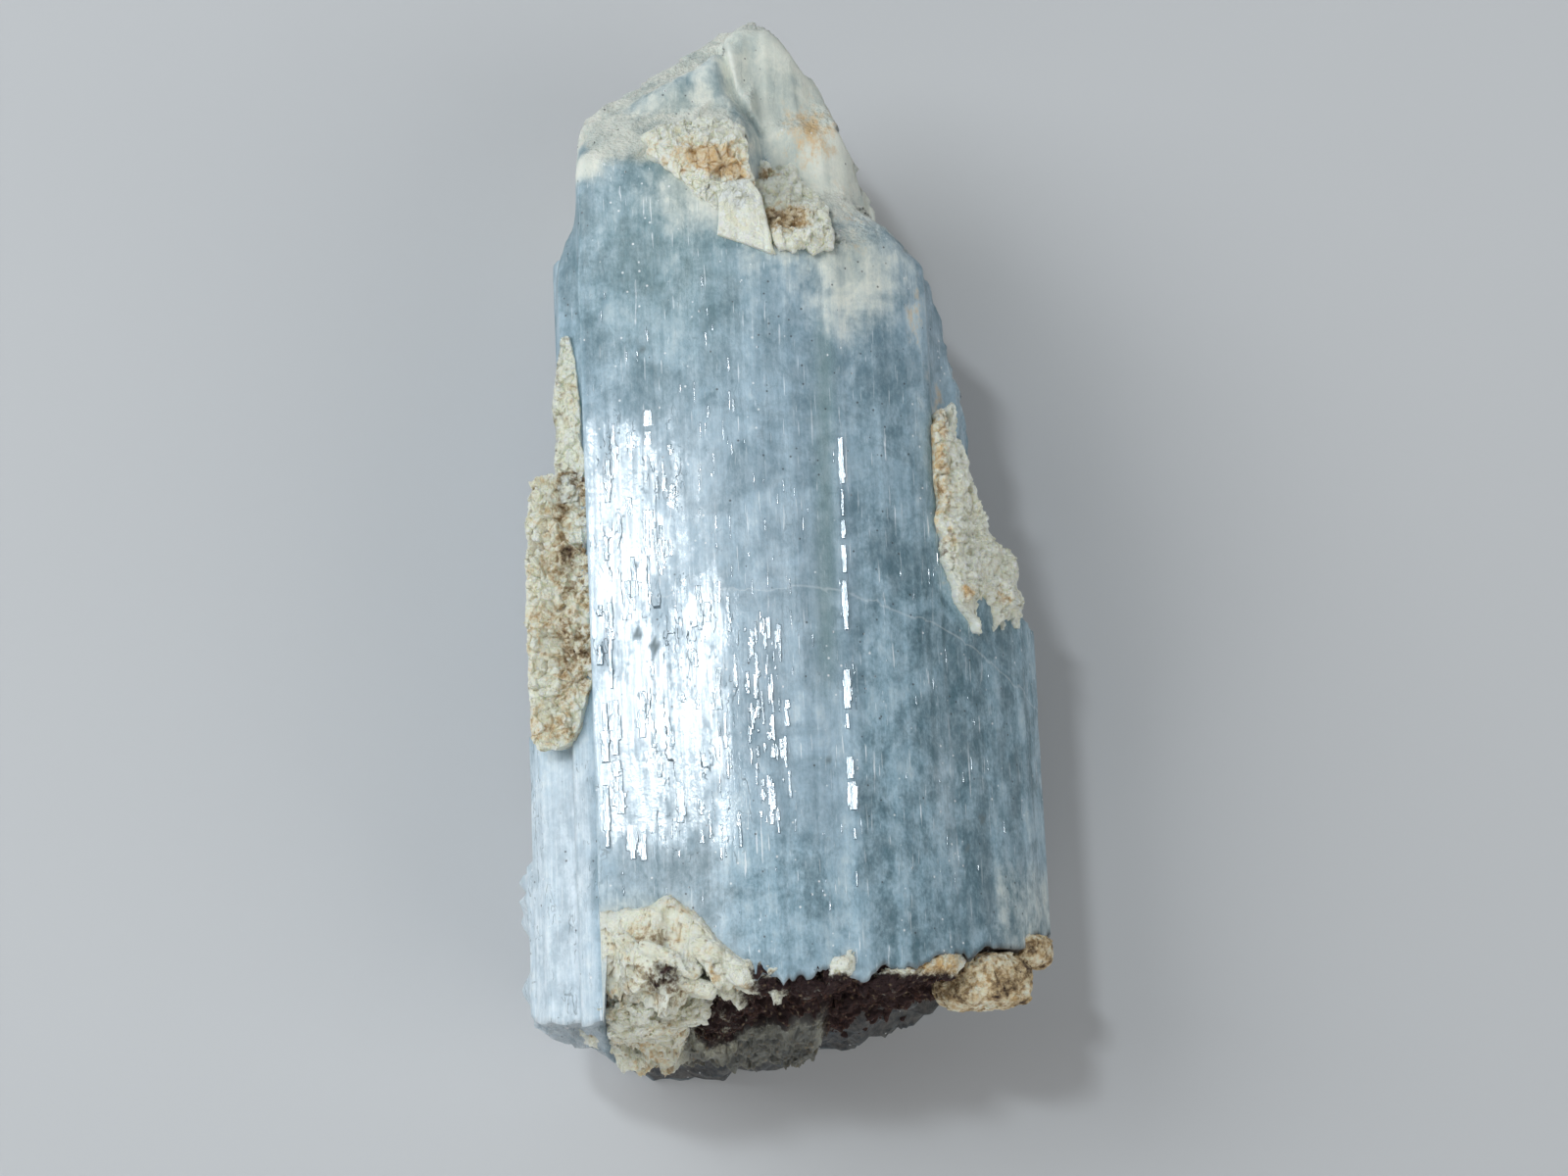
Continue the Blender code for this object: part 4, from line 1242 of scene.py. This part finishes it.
def weighted(tree, *pairs):
    """The sum of (value, weight) pairs."""
    total = None
    for value, weight in pairs:
        term = times(tree, value, weight)
        total = term if total is None else sums(tree, "ADD", total, term)
    return total


def uneven(tree, value, noise, amount, low, high):
    """A stored number with its edge broken up: noise is added to it before it is spread from low to high."""
    moved = sums(tree, "MULTIPLY_ADD", sums(tree, "SUBTRACT", noise, 0.5), amount, value)
    return stretch(tree, moved, low, high)


def cells(tree, place, scale):
    """A number for each of the squarish cells scattered over the place."""
    inputs = {"Vector": place, "Scale": scale, "Randomness": 1.0}
    made = node(tree, "TexVoronoi", inputs, distance="CHEBYCHEV")
    return node(tree, "SeparateColor", {0: made.outputs["Color"]}).outputs[0]


def specks(tree, place, scale, low, high):
    """Round specks scattered over the place: 1 within low of a speck's middle and 0 beyond high."""
    inputs = {"Vector": place, "Scale": scale, "Randomness": 1.0}
    gap = node(tree, "TexVoronoi", inputs).outputs["Distance"]
    return sums(tree, "SUBTRACT", 1.0, stretch(tree, gap, low, high))


def outlines(tree, place, scale, width, low, high):
    """Narrow lines where a cell meets one of another number: the cells are read again a width away."""
    here = cells(tree, place, scale)
    lines = None
    for shift in ((width, 0.0, 0.0), (0.0, 0.35 * width, 0.0)):
        moved = shifted(tree, place, shift)
        change = sums(tree, "ABSOLUTE", sums(tree, "SUBTRACT", cells(tree, moved, scale), here))
        line = stretch(tree, change, low, high)
        lines = line if lines is None else sums(tree, "MAXIMUM", lines, line)
    return lines


# The beryl's refractive index, and how far red, green and blue light spread under its skin, in millimetres.
BERYL_INDEX = 1.577
BERYL_SPREAD = (0.8, 1.0, 1.1)
# The beryl's colours beside its own deep and pale blue.
DEEP_TEAL, PALE_TEAL = (0.04, 0.12, 0.15), (0.34, 0.52, 0.62)
GREY_GREEN = (0.17, 0.27, 0.26)
# Milky white, partly painted light.
MILK_AND_LIGHT = (0.82, 0.91, 0.97)
# Painted highlights.
GLINT = (0.88, 0.94, 0.97)
DULL_CREAM, CLEAR_CREAM = (0.54, 0.60, 0.55), (0.94, 0.94, 0.83)
IRON_STAIN = (0.72, 0.52, 0.28)
PIT_FLOOR = (0.17, 0.22, 0.23)
# The broken base's colours, darkened partly as painted shade.
BREAK_DARK, BREAK_PALE = (0.03, 0.022, 0.02), (0.13, 0.11, 0.09)
HEALED_CRACK = (0.9, 0.94, 0.95)
# The etched plates' edges are painted this dark, as shade.
ETCHED_EDGE_SHADE = (0.06, 0.09, 0.11)
SPECK_DARK, SPECK_PALE = (0.03, 0.035, 0.04), (0.95, 0.97, 0.98)
# The flakes' walls are painted this dark, as shade.
FLAKE_WALL_SHADE = (0.10, 0.13, 0.15)


def beryl_tones(tree, mm):
    """The noises that the beryl's colour, gloss and relief share, by name. tint is 0 where it is deep."""
    along = stretched(tree, mm, (1.0, 0.035, 1.0))
    short = stretched(tree, mm, (1.0, 0.6, 1.0))
    tones = {
        "clouds": cloud(tree, mm, 0.3, detail=5.0, rough=0.62, low=0.4, high=0.6, distortion=0.5),
        "streaks": cloud(tree, along, 1.1, low=0.3, high=0.7),
        "mottle": cloud(tree, short, 1.5, detail=6.0, rough=0.72, high=0.7),
        "fine": cloud(tree, short, 7.0, detail=3.0, rough=0.6, low=0.3, high=0.7),
        "hairs": cloud(tree, along, 6.0, detail=3.0, rough=0.7, low=0.4, high=0.62),
    }
    tones["tint"] = blended(tree, tones, clouds=0.42, streaks=0.3, mottle=0.14, fine=0.14)
    return tones


def blended(tree, tones, **weights):
    """The weighted sum of the tones that are named."""
    return weighted(tree, *((tones[name], weight) for name, weight in weights.items()))


def blue_colour(tree, settings, mm, tones):
    """The fresh beryl's colour: deep to pale blue, with teal, green and milky areas, hairs and glints."""
    colour = mixed(tree, tones["tint"], settings.deep_colour, settings.pale_colour)
    teal_tint = stretch(tree, blended(tree, tones, mottle=0.2, clouds=0.3, streaks=0.3, fine=0.2), 0.15, 0.85)
    teal = mixed(tree, teal_tint, DEEP_TEAL, PALE_TEAL)
    # Teal, partly the beryl's own and partly painted shade on the right faces, upper left and low front.
    colour = mixed(tree, times(tree, number(tree, "teal"), 0.75), colour, teal)
    # Grey-green, painted shade in the cleft and on the upper left.
    colour = mixed(tree, times(tree, number(tree, "green"), 0.65), colour, GREY_GREEN)
    # Milky white, partly painted light on the lower left terraces and in the front's middle.
    milk_and_light = number(tree, "milk_and_light")
    white = times(tree, tones["mottle"], sums(tree, "MULTIPLY_ADD", milk_and_light, 0.35, 0.15))
    white = sums(tree, "MULTIPLY_ADD", milk_and_light, 0.5, white)
    colour = mixed(tree, white, colour, MILK_AND_LIGHT)
    colour = mixed(tree, times(tree, tones["hairs"], 0.16), colour, settings.deep_colour)
    # Glints: thin white dashes painted into the colour as highlights.
    thin = stretched(tree, mm, (1.0, 0.05, 1.0))
    glints = cloud(tree, thin, 8.0, detail=2.0, rough=0.5, low=0.67, high=0.70)
    glints = times(tree, glints, sums(tree, "MULTIPLY_ADD", tones["clouds"], 0.5, 0.3))
    return mixed(tree, glints, colour, GLINT)


def stained_colour(tree, colour, tones, creamy):
    """The colour with cream and rusty areas, dark pits, and stain and painted shade on the base's break."""
    cream = mixed(tree, tones["tint"], DULL_CREAM, CLEAR_CREAM)
    colour = mixed(tree, creamy, colour, cream)
    rusty = uneven(tree, number(tree, "rust"), tones["mottle"], 0.7, 0.3, 1.1)
    colour = mixed(tree, rusty, colour, IRON_STAIN)
    colour = mixed(tree, times(tree, number(tree, "pit"), 0.8), colour, PIT_FLOOR)
    # The break is partly brown stain and partly painted shade.
    stain_and_shade = mixed(tree, tones["mottle"], BREAK_DARK, BREAK_PALE)
    return mixed(tree, number(tree, "base"), colour, stain_and_shade)


def healed_crack(tree, mm, tones):
    """A thin line across the front, which bends down to the right: its y falls with the square of x."""
    split = node(tree, "SeparateXYZ", {0: mm})
    right = sums(tree, "MAXIMUM", split.outputs["X"], 0.0)
    bend = times(tree, times(tree, right, right), 0.028)
    waver = times(tree, sums(tree, "SUBTRACT", tones["clouds"], 0.5), 0.3)
    distance = sums(tree, "ABSOLUTE", sums(tree, "ADD", sums(tree, "ADD", split.outputs["Y"], bend), waver))
    line = sums(tree, "SUBTRACT", 1.0, stretch(tree, distance, 0.0, 0.1))
    return times(tree, line, sums(tree, "SUBTRACT", 1.0, number(tree, "broken")))


def etched_edges(tree, mm, mirror):
    """Lines along the edges of long and short etched plates, in patches, most of them on the mirror face."""
    bent = node(tree, "TexNoise", {"Vector": mm, "Scale": 1.6, "Detail": 2.0}).outputs["Color"]
    bent = shifted(tree, mm, stretched(tree, bent, (0.3, 0.3, 0.3)))
    long_edges = outlines(tree, stretched(tree, bent, (1.0, 0.14, 1.0)), 1.7, 0.05, 0.5, 0.6)
    short_edges = outlines(tree, stretched(tree, bent, (1.0, 0.3, 1.0)), 4.2, 0.04, 0.55, 0.65)
    patchy = cloud(tree, stretched(tree, mm, (1.0, 0.45, 1.0)), 0.55, rough=0.6, low=0.42, high=0.6)
    share = times(tree, patchy, weighted(tree, (mirror, 0.8), (number(tree, "milk_and_light"), 0.4), (1.0, 0.2)))
    return times(tree, sums(tree, "MAXIMUM", long_edges, short_edges), share)


def beryl_roughness(tree, mm, tones, mirror, creamy, etched):
    """How dull the beryl is: least on the mirror face, most in pits, etched lines and breaks."""
    plate = cells(tree, stretched(tree, mm, (1.0, 0.2, 1.0)), 1.3)
    small_plate = cells(tree, stretched(tree, mm, (1.0, 0.16, 1.0)), 5.0)
    weathered = sums(tree, "MAXIMUM", number(tree, "broken"), creamy)
    rough = weighted(tree, (plate, 0.05), (small_plate, 0.06), (tones["mottle"], 0.05), (weathered, 0.3),
                     (etched, 0.5), (tones["hairs"], 0.08), (number(tree, "pit"), 0.4),
                     (number(tree, "base"), 0.5), (mirror, -0.26))
    dull = cloud(tree, stretched(tree, mm, (1.0, 0.5, 1.0)), 0.45, detail=6.0, rough=0.7, low=0.5, high=0.66)
    return sums(tree, "ADD", sums(tree, "MULTIPLY_ADD", dull, 0.25, rough), 0.35)


def beryl_relief(tree, mm, tones, line_depth):
    """The bump of the growth lines, which are faint on the mirror face, and of the breaks' rubble."""
    strength = sums(tree, "MULTIPLY_ADD", number(tree, "mirror"), -0.85, 1.0)
    lines = blended(tree, tones, streaks=0.018 * line_depth, fine=0.006)
    grit = cloud(tree, mm, 4.0, detail=3.0, rough=0.65, low=0.2, high=0.8)
    rubble = times(tree, grit, sums(tree, "MULTIPLY_ADD", number(tree, "broken"), 0.12, 0.004))
    return raised(tree, sums(tree, "ADD", times(tree, lines, strength), rubble), 1.0)


def beryl_material(settings):
    """Milky pale blue beryl: growth lines, etched plates, specks; stains and painted shade where broken."""
    material, tree = new_material("milky_beryl")
    mm = millimetres(tree)
    tones = beryl_tones(tree, mm)
    mirror_noise = blended(tree, tones, streaks=0.5, mottle=0.5)
    mirror = uneven(tree, number(tree, "mirror"), mirror_noise, 1.1, 0.2, 0.8)
    cream_noise = blended(tree, tones, mottle=0.3, clouds=0.3, streaks=0.4)
    creamy = uneven(tree, number(tree, "cream"), cream_noise, 0.7, 0.05, 0.95)
    etched = etched_edges(tree, mm, mirror)

    colour = stained_colour(tree, blue_colour(tree, settings, mm, tones), tones, creamy)
    colour = mixed(tree, times(tree, healed_crack(tree, mm, tones), 0.25), colour, HEALED_CRACK)
    # Painted shade along the etched plates' edges.
    colour = mixed(tree, times(tree, etched, 0.8), colour, ETCHED_EDGE_SHADE)
    speck_colour = mixed(tree, stretch(tree, tones["streaks"], 0.45, 0.55), SPECK_DARK, SPECK_PALE)
    colour = mixed(tree, times(tree, specks(tree, mm, 1.5, 0.06, 0.12), 0.75), colour, speck_colour)
    finish_material(tree, node(tree, "BsdfPrincipled", {
        "Base Color": colour,
        "Roughness": beryl_roughness(tree, mm, tones, mirror, creamy, etched),
        "Normal": beryl_relief(tree, mm, tones, settings.line_depth),
        "IOR": BERYL_INDEX,
        "Subsurface Weight": 0.3,
        "Subsurface Radius": BERYL_SPREAD,
        "Subsurface Scale": METRES,
        "Transmission Weight": 0.1,
    }))
    return material


def flake_material(settings):
    """The flakes: the beryl's pale colour, smoother to catch the light, with painted shade on their edges."""
    material, tree = new_material("beryl_flakes")
    along = stretched(tree, millimetres(tree), (1.0, 0.1, 1.0))
    colour = mixed(tree, cloud(tree, along, 2.0, rough=0.6), settings.deep_colour, settings.pale_colour)
    # Painted shade on the flakes' walls.
    colour = mixed(tree, times(tree, number(tree, "edge"), 0.8), colour, FLAKE_WALL_SHADE)
    finish_material(tree, node(tree, "BsdfPrincipled", {
        "Base Color": colour,
        "Roughness": 0.16,
        "Normal": raised(tree, cloud(tree, along, 8.0, detail=3.0), 0.006),
        "IOR": BERYL_INDEX,
        "Subsurface Weight": 0.35,
        "Subsurface Radius": BERYL_SPREAD,
        "Subsurface Scale": METRES,
        "Transmission Weight": 0.12,
    }))
    return material


# The feldspar's refractive index, how far light spreads under its skin, and its colours.
FELDSPAR_INDEX = 1.53
FELDSPAR_SPREAD = (1.0, 0.8, 0.5)
FRESH_GRAIN = (0.98, 1.0, 0.92)
# The hollows' colour: dirt, darkened further as painted shade.
HOLLOW_DIRT_AND_SHADE = (0.26, 0.18, 0.11)
# The break's browns are darkened partly as painted shade.
BREAK_BROWN = (0.05, 0.028, 0.028)
DARK_GREY, PALE_GREY = (0.12, 0.125, 0.12), (0.25, 0.26, 0.24)
SPECK_BROWN = (0.30, 0.23, 0.15)


def feldspar_material(name, settings, tan_share, fresh, dirt_and_shade, seed):
    """Granular feldspar: cream, with tan patches, dirty hollows, rust, a dark break, specks and grit.

    The hollows are darkened partly as grime, partly as painted shade. tan_share says how tan its patches
    are, fresh how white its grains, and dirt how dark its hollows.
    """
    material, tree = new_material(name)
    mm = shifted(tree, millimetres(tree), (seed, seed * 0.7, 0.0))
    patches = cloud(tree, mm, 0.55, detail=5.0, rough=0.6, low=0.3, high=0.7)
    grain = cloud(tree, mm, 2.6, detail=5.0, rough=0.65, low=0.3, high=0.7)
    grit = cloud(tree, mm, 9.0, rough=0.7, low=0.25, high=0.75)
    tone, fine_tone = cells(tree, mm, 1.7), cells(tree, mm, 4.5)
    hollow = number(tree, "hollow")

    colour = mixed(tree, times(tree, patches, tan_share), settings.cream_colour, settings.tan_colour)
    colour = mixed(tree, times(tree, stretch(tree, tone, 0.55, 1.0), 0.3), colour, settings.tan_colour)
    colour = mixed(tree, times(tree, stretch(tree, fine_tone, 0.4, 1.0), fresh), colour, FRESH_GRAIN)
    # Tan and dark brown in the hollows: partly dirt, partly painted shade.
    colour = mixed(tree, times(tree, hollow, 0.2 + 0.4 * dirt_and_shade), colour, settings.tan_colour)
    colour = mixed(tree, times(tree, stretch(tree, hollow, 0.6, 1.0), dirt_and_shade), colour, HOLLOW_DIRT_AND_SHADE)

    rusty = weighted(tree, (number(tree, "rust"), 1.0), (grain, 0.45), (patches, 0.45))
    rusty = times(tree, stretch(tree, rusty, 0.75, 1.35), weighted(tree, (grain, 0.5), (1.0, 0.5)))
    colour = mixed(tree, rusty, colour, settings.rust_colour)
    # The dark break's colour: brown, deepened partly as painted shade.
    dark = mixed(tree, weighted(tree, (tone, 0.5), (fine_tone, 0.5)), settings.brown_colour, BREAK_BROWN)
    browned = weighted(tree, (number(tree, "brown"), 1.0), (grain, 0.4), (patches, 0.4))
    colour = mixed(tree, stretch(tree, browned, 0.6, 1.15), colour, dark)
    colour = mixed(tree, number(tree, "grey"), colour, mixed(tree, patches, DARK_GREY, PALE_GREY))
    speck = times(tree, specks(tree, mm, 2.4, 0.05, 0.35), stretch(tree, grain, 0.2, 0.8))
    colour = mixed(tree, times(tree, speck, 0.3 + dirt_and_shade), colour, SPECK_BROWN)

    height = weighted(tree, (grain, 0.06), (grit, 0.05), (fine_tone, 0.04))
    finish_material(tree, node(tree, "BsdfPrincipled", {
        "Base Color": colour,
        "Roughness": sums(tree, "MULTIPLY_ADD", grit, 0.3, 0.65),
        "Normal": raised(tree, height, 1.0),
        "IOR": FELDSPAR_INDEX,
        "Specular IOR Level": 0.2,
        "Subsurface Weight": 0.3,
        "Subsurface Radius": FELDSPAR_SPREAD,
        "Subsurface Scale": 0.8 * METRES,
    }))
    return material


def floor_material(colour):
    """The plain pale floor, with a faint unevenness."""
    material, tree = new_material("pale_floor")
    tint = cloud(tree, node(tree, "TexCoord").outputs["Object"], 30.0)
    shade = mixed(tree, times(tree, tint, 0.06), colour, tuple(0.85 * c for c in colour[:3]))
    finish_material(tree, node(tree, "BsdfPrincipled", {"Base Color": shade, "Roughness": 0.8}))
    return material


def dress(piece, material, slot, *nodes):
    """The piece's material, its body and the solids that it stands for; slot is not used."""
    piece.data.materials.append(material)
    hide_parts(*nodes)
    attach(piece, "root")


# ---------------------------------------------------------------- the stage

# In metres: the floor's half side, and how far below the crystal it lies.
FLOOR_HALF_SIDE = 1.5
FLOOR_DROP = 0.00002


def stage_floor(colour):
    """A flat pale floor under the crystal."""
    mesh = bpy.data.meshes.new("floor")
    half = FLOOR_HALF_SIDE
    corners = [(x, y, -FLOOR_DROP) for x, y in ((-half, -half), (half, -half), (half, half), (-half, half))]
    mesh.from_pydata(corners, [], [(0, 1, 2, 3)])
    floor = bpy.data.objects.new("floor", mesh)
    bpy.context.scene.collection.objects.link(floor)
    mesh.materials.append(floor_material(colour))


def softbox(name, way, distance, size, colour, watts, aim):
    """A rectangular area light at a distance from the aim, on its side given by way."""
    light = bpy.data.lights.new(name, "AREA")
    light.shape = "RECTANGLE"
    light.size, light.size_y = size
    light.energy = watts
    light.color = colour
    lamp = bpy.data.objects.new(name, light)
    way = Vector(way).normalized()
    lamp.location = Vector(aim) + way * distance
    lamp.rotation_euler = way.to_track_quat("Z", "Y").to_euler()
    bpy.context.scene.collection.objects.link(lamp)


# The light that the front's left face mirrors: the way to it, its distance, its size and its colour.
SHEEN_LIGHT = ((-0.251, 0.192, 0.949), 0.5, (0.028, 0.055), (0.88, 0.95, 1.0))
# The soft lights, given in the same way after the name, then each one's share of the key light's watts.
SOFT_LIGHTS = [
    ("key_light", (-0.85, 0.35, 0.75), 0.6, (0.35, 0.5), (0.95, 0.98, 1.0), 1.0),
    ("fill_light", (0.8, -0.5, 0.8), 0.8, (0.6, 0.6), (1.0, 0.98, 0.95), 0.8),
    ("base_light", (-0.25, -0.95, 0.35), 0.6, (0.5, 0.3), (1.0, 0.98, 0.95), 0.32),
]
SKY_COLOUR = (0.9, 0.95, 1.0, 1.0)
# The camera looks down at the front, from its base's side: turn and height in degrees, distance in metres.
VIEW_TURN, VIEW_RISE, VIEW_DISTANCE = -2.5, 78.0, 0.2
VIEW_LENS, SENSOR_WIDTH, NEAREST = 90.0, 36.0, 0.005


def soft_sky(strength):
    """An even light from all round."""
    sky = bpy.data.worlds.new("soft_sky")
    sky.use_nodes = True
    background = sky.node_tree.nodes["Background"]
    background.inputs["Color"].default_value = SKY_COLOUR
    background.inputs["Strength"].default_value = strength
    bpy.context.scene.world = sky


def look(aim):
    """The camera, aimed at the middle of the crystal's front."""
    turn, up = math.radians(VIEW_TURN), math.radians(VIEW_RISE)
    way = Vector((math.sin(turn) * math.cos(up), -math.cos(turn) * math.cos(up), math.sin(up)))
    data = bpy.data.cameras.new("camera")
    data.lens = VIEW_LENS
    data.sensor_width = SENSOR_WIDTH
    data.clip_start = NEAREST
    camera = bpy.data.objects.new("camera", data)
    camera.location = Vector(aim) + way * VIEW_DISTANCE
    camera.rotation_euler = way.to_track_quat("Z", "Y").to_euler()
    bpy.context.scene.collection.objects.link(camera)
    bpy.context.scene.camera = camera


# ---------------------------------------------------------------- the add-on

class BerylSettings(bpy.types.PropertyGroup):
    """The crystal's colours and how deep its lines are."""
    deep_colour: bpy.props.FloatVectorProperty(
        name="Deep colour", description="Colour where the beryl is clearest", subtype="COLOR",
        default=(0.13, 0.225, 0.28), min=0.0, max=1.0)
    pale_colour: bpy.props.FloatVectorProperty(
        name="Pale colour", description="Colour where the beryl is cloudiest", subtype="COLOR",
        default=(0.50, 0.67, 0.79), min=0.0, max=1.0)
    line_depth: bpy.props.FloatProperty(
        name="Line depth", description="How deep the fine growth lines are", default=1.0, min=0.0, max=5.0)


class FeldsparSettings(bpy.types.PropertyGroup):
    """The matrix's colours."""
    cream_colour: bpy.props.FloatVectorProperty(
        name="Cream", description="Fresh feldspar", subtype="COLOR",
        default=(0.97, 0.99, 0.84), min=0.0, max=1.0)
    tan_colour: bpy.props.FloatVectorProperty(
        name="Tan", description="Weathered feldspar", subtype="COLOR",
        default=(0.80, 0.73, 0.50), min=0.0, max=1.0)
    # This brown is darkened partly as painted shade.
    brown_colour: bpy.props.FloatVectorProperty(
        name="Brown", description="The dark break's deepest colour", subtype="COLOR",
        default=(0.022, 0.012, 0.012), min=0.0, max=1.0)
    rust_colour: bpy.props.FloatVectorProperty(
        name="Rust", description="Iron stains", subtype="COLOR",
        default=(0.76, 0.51, 0.24), min=0.0, max=1.0)


class StageSettings(bpy.types.PropertyGroup):
    """The floor's colour and the lights' strengths."""
    floor_colour: bpy.props.FloatVectorProperty(
        name="Floor", description="Colour of the floor", subtype="COLOR",
        default=(0.52, 0.53, 0.54), min=0.0, max=1.0)
    sheen_watts: bpy.props.FloatProperty(
        name="Sheen light", description="Strength of the light that the front mirrors", default=0.62, min=0.0)
    key_watts: bpy.props.FloatProperty(
        name="Key light", description="Strength of the soft light from the left", default=2.25, min=0.0)
    sky_strength: bpy.props.FloatProperty(
        name="Sky", description="Strength of the even light from all round", default=0.25, min=0.0)


class AQUAMARINE_OT_crystal(bpy.types.Operator):
    """Builds the crystal's skin and the flakes on its front"""
    bl_idname = "aquamarine.crystal"
    bl_label = "Crystal"

    def execute(self, context):
        piece, grid = crystal_surface()
        dress(piece, beryl_material(context.scene.beryl), "aquamarine", "aquamarine_crystal")
        flakes = growth_flakes(grid)
        flakes.data.materials.append(flake_material(context.scene.beryl))
        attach(flakes, "root")
        return {"FINISHED"}


class AQUAMARINE_OT_left_slab(bpy.types.Operator):
    """Builds the granular slab on the left side"""
    bl_idname = "aquamarine.left_slab"
    bl_label = "Left slab"

    def execute(self, context):
        material = feldspar_material(
            "tan_feldspar", context.scene.feldspar, tan_share=0.45, fresh=0.6, dirt_and_shade=0.35, seed=3.0)
        dress(left_slab(), material, "feldspar", "matrix_left_slab")
        return {"FINISHED"}


class AQUAMARINE_OT_right_shoulder(bpy.types.Operator):
    """Builds the cream crust on the right shoulder"""
    bl_idname = "aquamarine.right_shoulder"
    bl_label = "Right shoulder"

    def execute(self, context):
        material = feldspar_material(
            "speckled_feldspar", context.scene.feldspar, tan_share=0.1, fresh=0.7, dirt_and_shade=0.2, seed=11.0)
        dress(right_shoulder(), material, "feldspar", "matrix_right_shoulder")
        return {"FINISHED"}


class AQUAMARINE_OT_top_crust(bpy.types.Operator):
    """Builds the crust, the plate and the hollow near the summit"""
    bl_idname = "aquamarine.top_crust"
    bl_label = "Top crust"

    def execute(self, context):
        material = feldspar_material(
            "cream_feldspar", context.scene.feldspar, tan_share=0.1, fresh=0.8, dirt_and_shade=0.0, seed=19.0)
        dress(top_crust(), material, "feldspar", "matrix_top_crust")
        return {"FINISHED"}


class AQUAMARINE_OT_base(bpy.types.Operator):
    """Builds the crust over the lower edge, its wedges and the lumps at its corner"""
    bl_idname = "aquamarine.base"
    bl_label = "Base"

    def execute(self, context):
        material = feldspar_material(
            "stained_feldspar", context.scene.feldspar, tan_share=0.25, fresh=0.5, dirt_and_shade=0.5, seed=27.0)
        dress(base_crust(), material, "stained_feldspar", "matrix_base_crust")
        wedges = base_wedges()
        wedges.data.materials.append(material)
        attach(wedges, "root")
        material = feldspar_material(
            "tan_lump_feldspar", context.scene.feldspar, tan_share=1.0, fresh=0.05, dirt_and_shade=0.9, seed=35.0)
        dress(base_lumps(), material, "stained_feldspar", "matrix_base_lump")
        return {"FINISHED"}


class AQUAMARINE_OT_stage(bpy.types.Operator):
    """Builds the floor, the lights and the camera"""
    bl_idname = "aquamarine.stage"
    bl_label = "Stage"

    def execute(self, context):
        settings = context.scene.aquamarine_stage
        aim = tuple(world([0.0, 0.0, FRONT_Z]))
        stage_floor(settings.floor_colour)
        softbox("sheen_light", *SHEEN_LIGHT, settings.sheen_watts, aim)
        for *light, share in SOFT_LIGHTS:
            softbox(*light, settings.key_watts * share, aim)
        soft_sky(settings.sky_strength)
        context.scene.view_settings.view_transform = "Standard"
        look(aim)
        return {"FINISHED"}


OPERATORS = [
    AQUAMARINE_OT_crystal, AQUAMARINE_OT_left_slab, AQUAMARINE_OT_right_shoulder, AQUAMARINE_OT_top_crust,
    AQUAMARINE_OT_base, AQUAMARINE_OT_stage,
]


class AQUAMARINE_PT_pieces(bpy.types.Panel):
    """Lists the pieces and their settings in the sidebar"""
    bl_idname = "AQUAMARINE_PT_pieces"
    bl_label = "Aquamarine Crystal"
    bl_space_type = "VIEW_3D"
    bl_region_type = "UI"
    bl_category = "Aquamarine"

    def draw(self, context):
        for settings in (context.scene.beryl, context.scene.feldspar, context.scene.aquamarine_stage):
            box = self.layout.box()
            for name in settings.bl_rna.properties.keys():
                if name not in ("rna_type", "name"):
                    box.prop(settings, name)
        for operator in OPERATORS:
            self.layout.operator(operator.bl_idname)


CLASSES = [BerylSettings, FeldsparSettings, StageSettings, *OPERATORS, AQUAMARINE_PT_pieces]


def register():
    """Adds the classes and the scene's settings."""
    for each in CLASSES:
        bpy.utils.register_class(each)
    bpy.types.Scene.beryl = bpy.props.PointerProperty(type=BerylSettings)
    bpy.types.Scene.feldspar = bpy.props.PointerProperty(type=FeldsparSettings)
    bpy.types.Scene.aquamarine_stage = bpy.props.PointerProperty(type=StageSettings)


def unregister():
    """Takes the settings and the classes away again."""
    del bpy.types.Scene.aquamarine_stage
    del bpy.types.Scene.feldspar
    del bpy.types.Scene.beryl
    for each in reversed(CLASSES):
        bpy.utils.unregister_class(each)


def main():
    """Builds every piece in order."""
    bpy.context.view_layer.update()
    register()
    bpy.ops.aquamarine.crystal()
    bpy.ops.aquamarine.left_slab()
    bpy.ops.aquamarine.right_shoulder()
    bpy.ops.aquamarine.top_crust()
    bpy.ops.aquamarine.base()
    bpy.ops.aquamarine.stage()


if __name__ == "__main__":
    main()
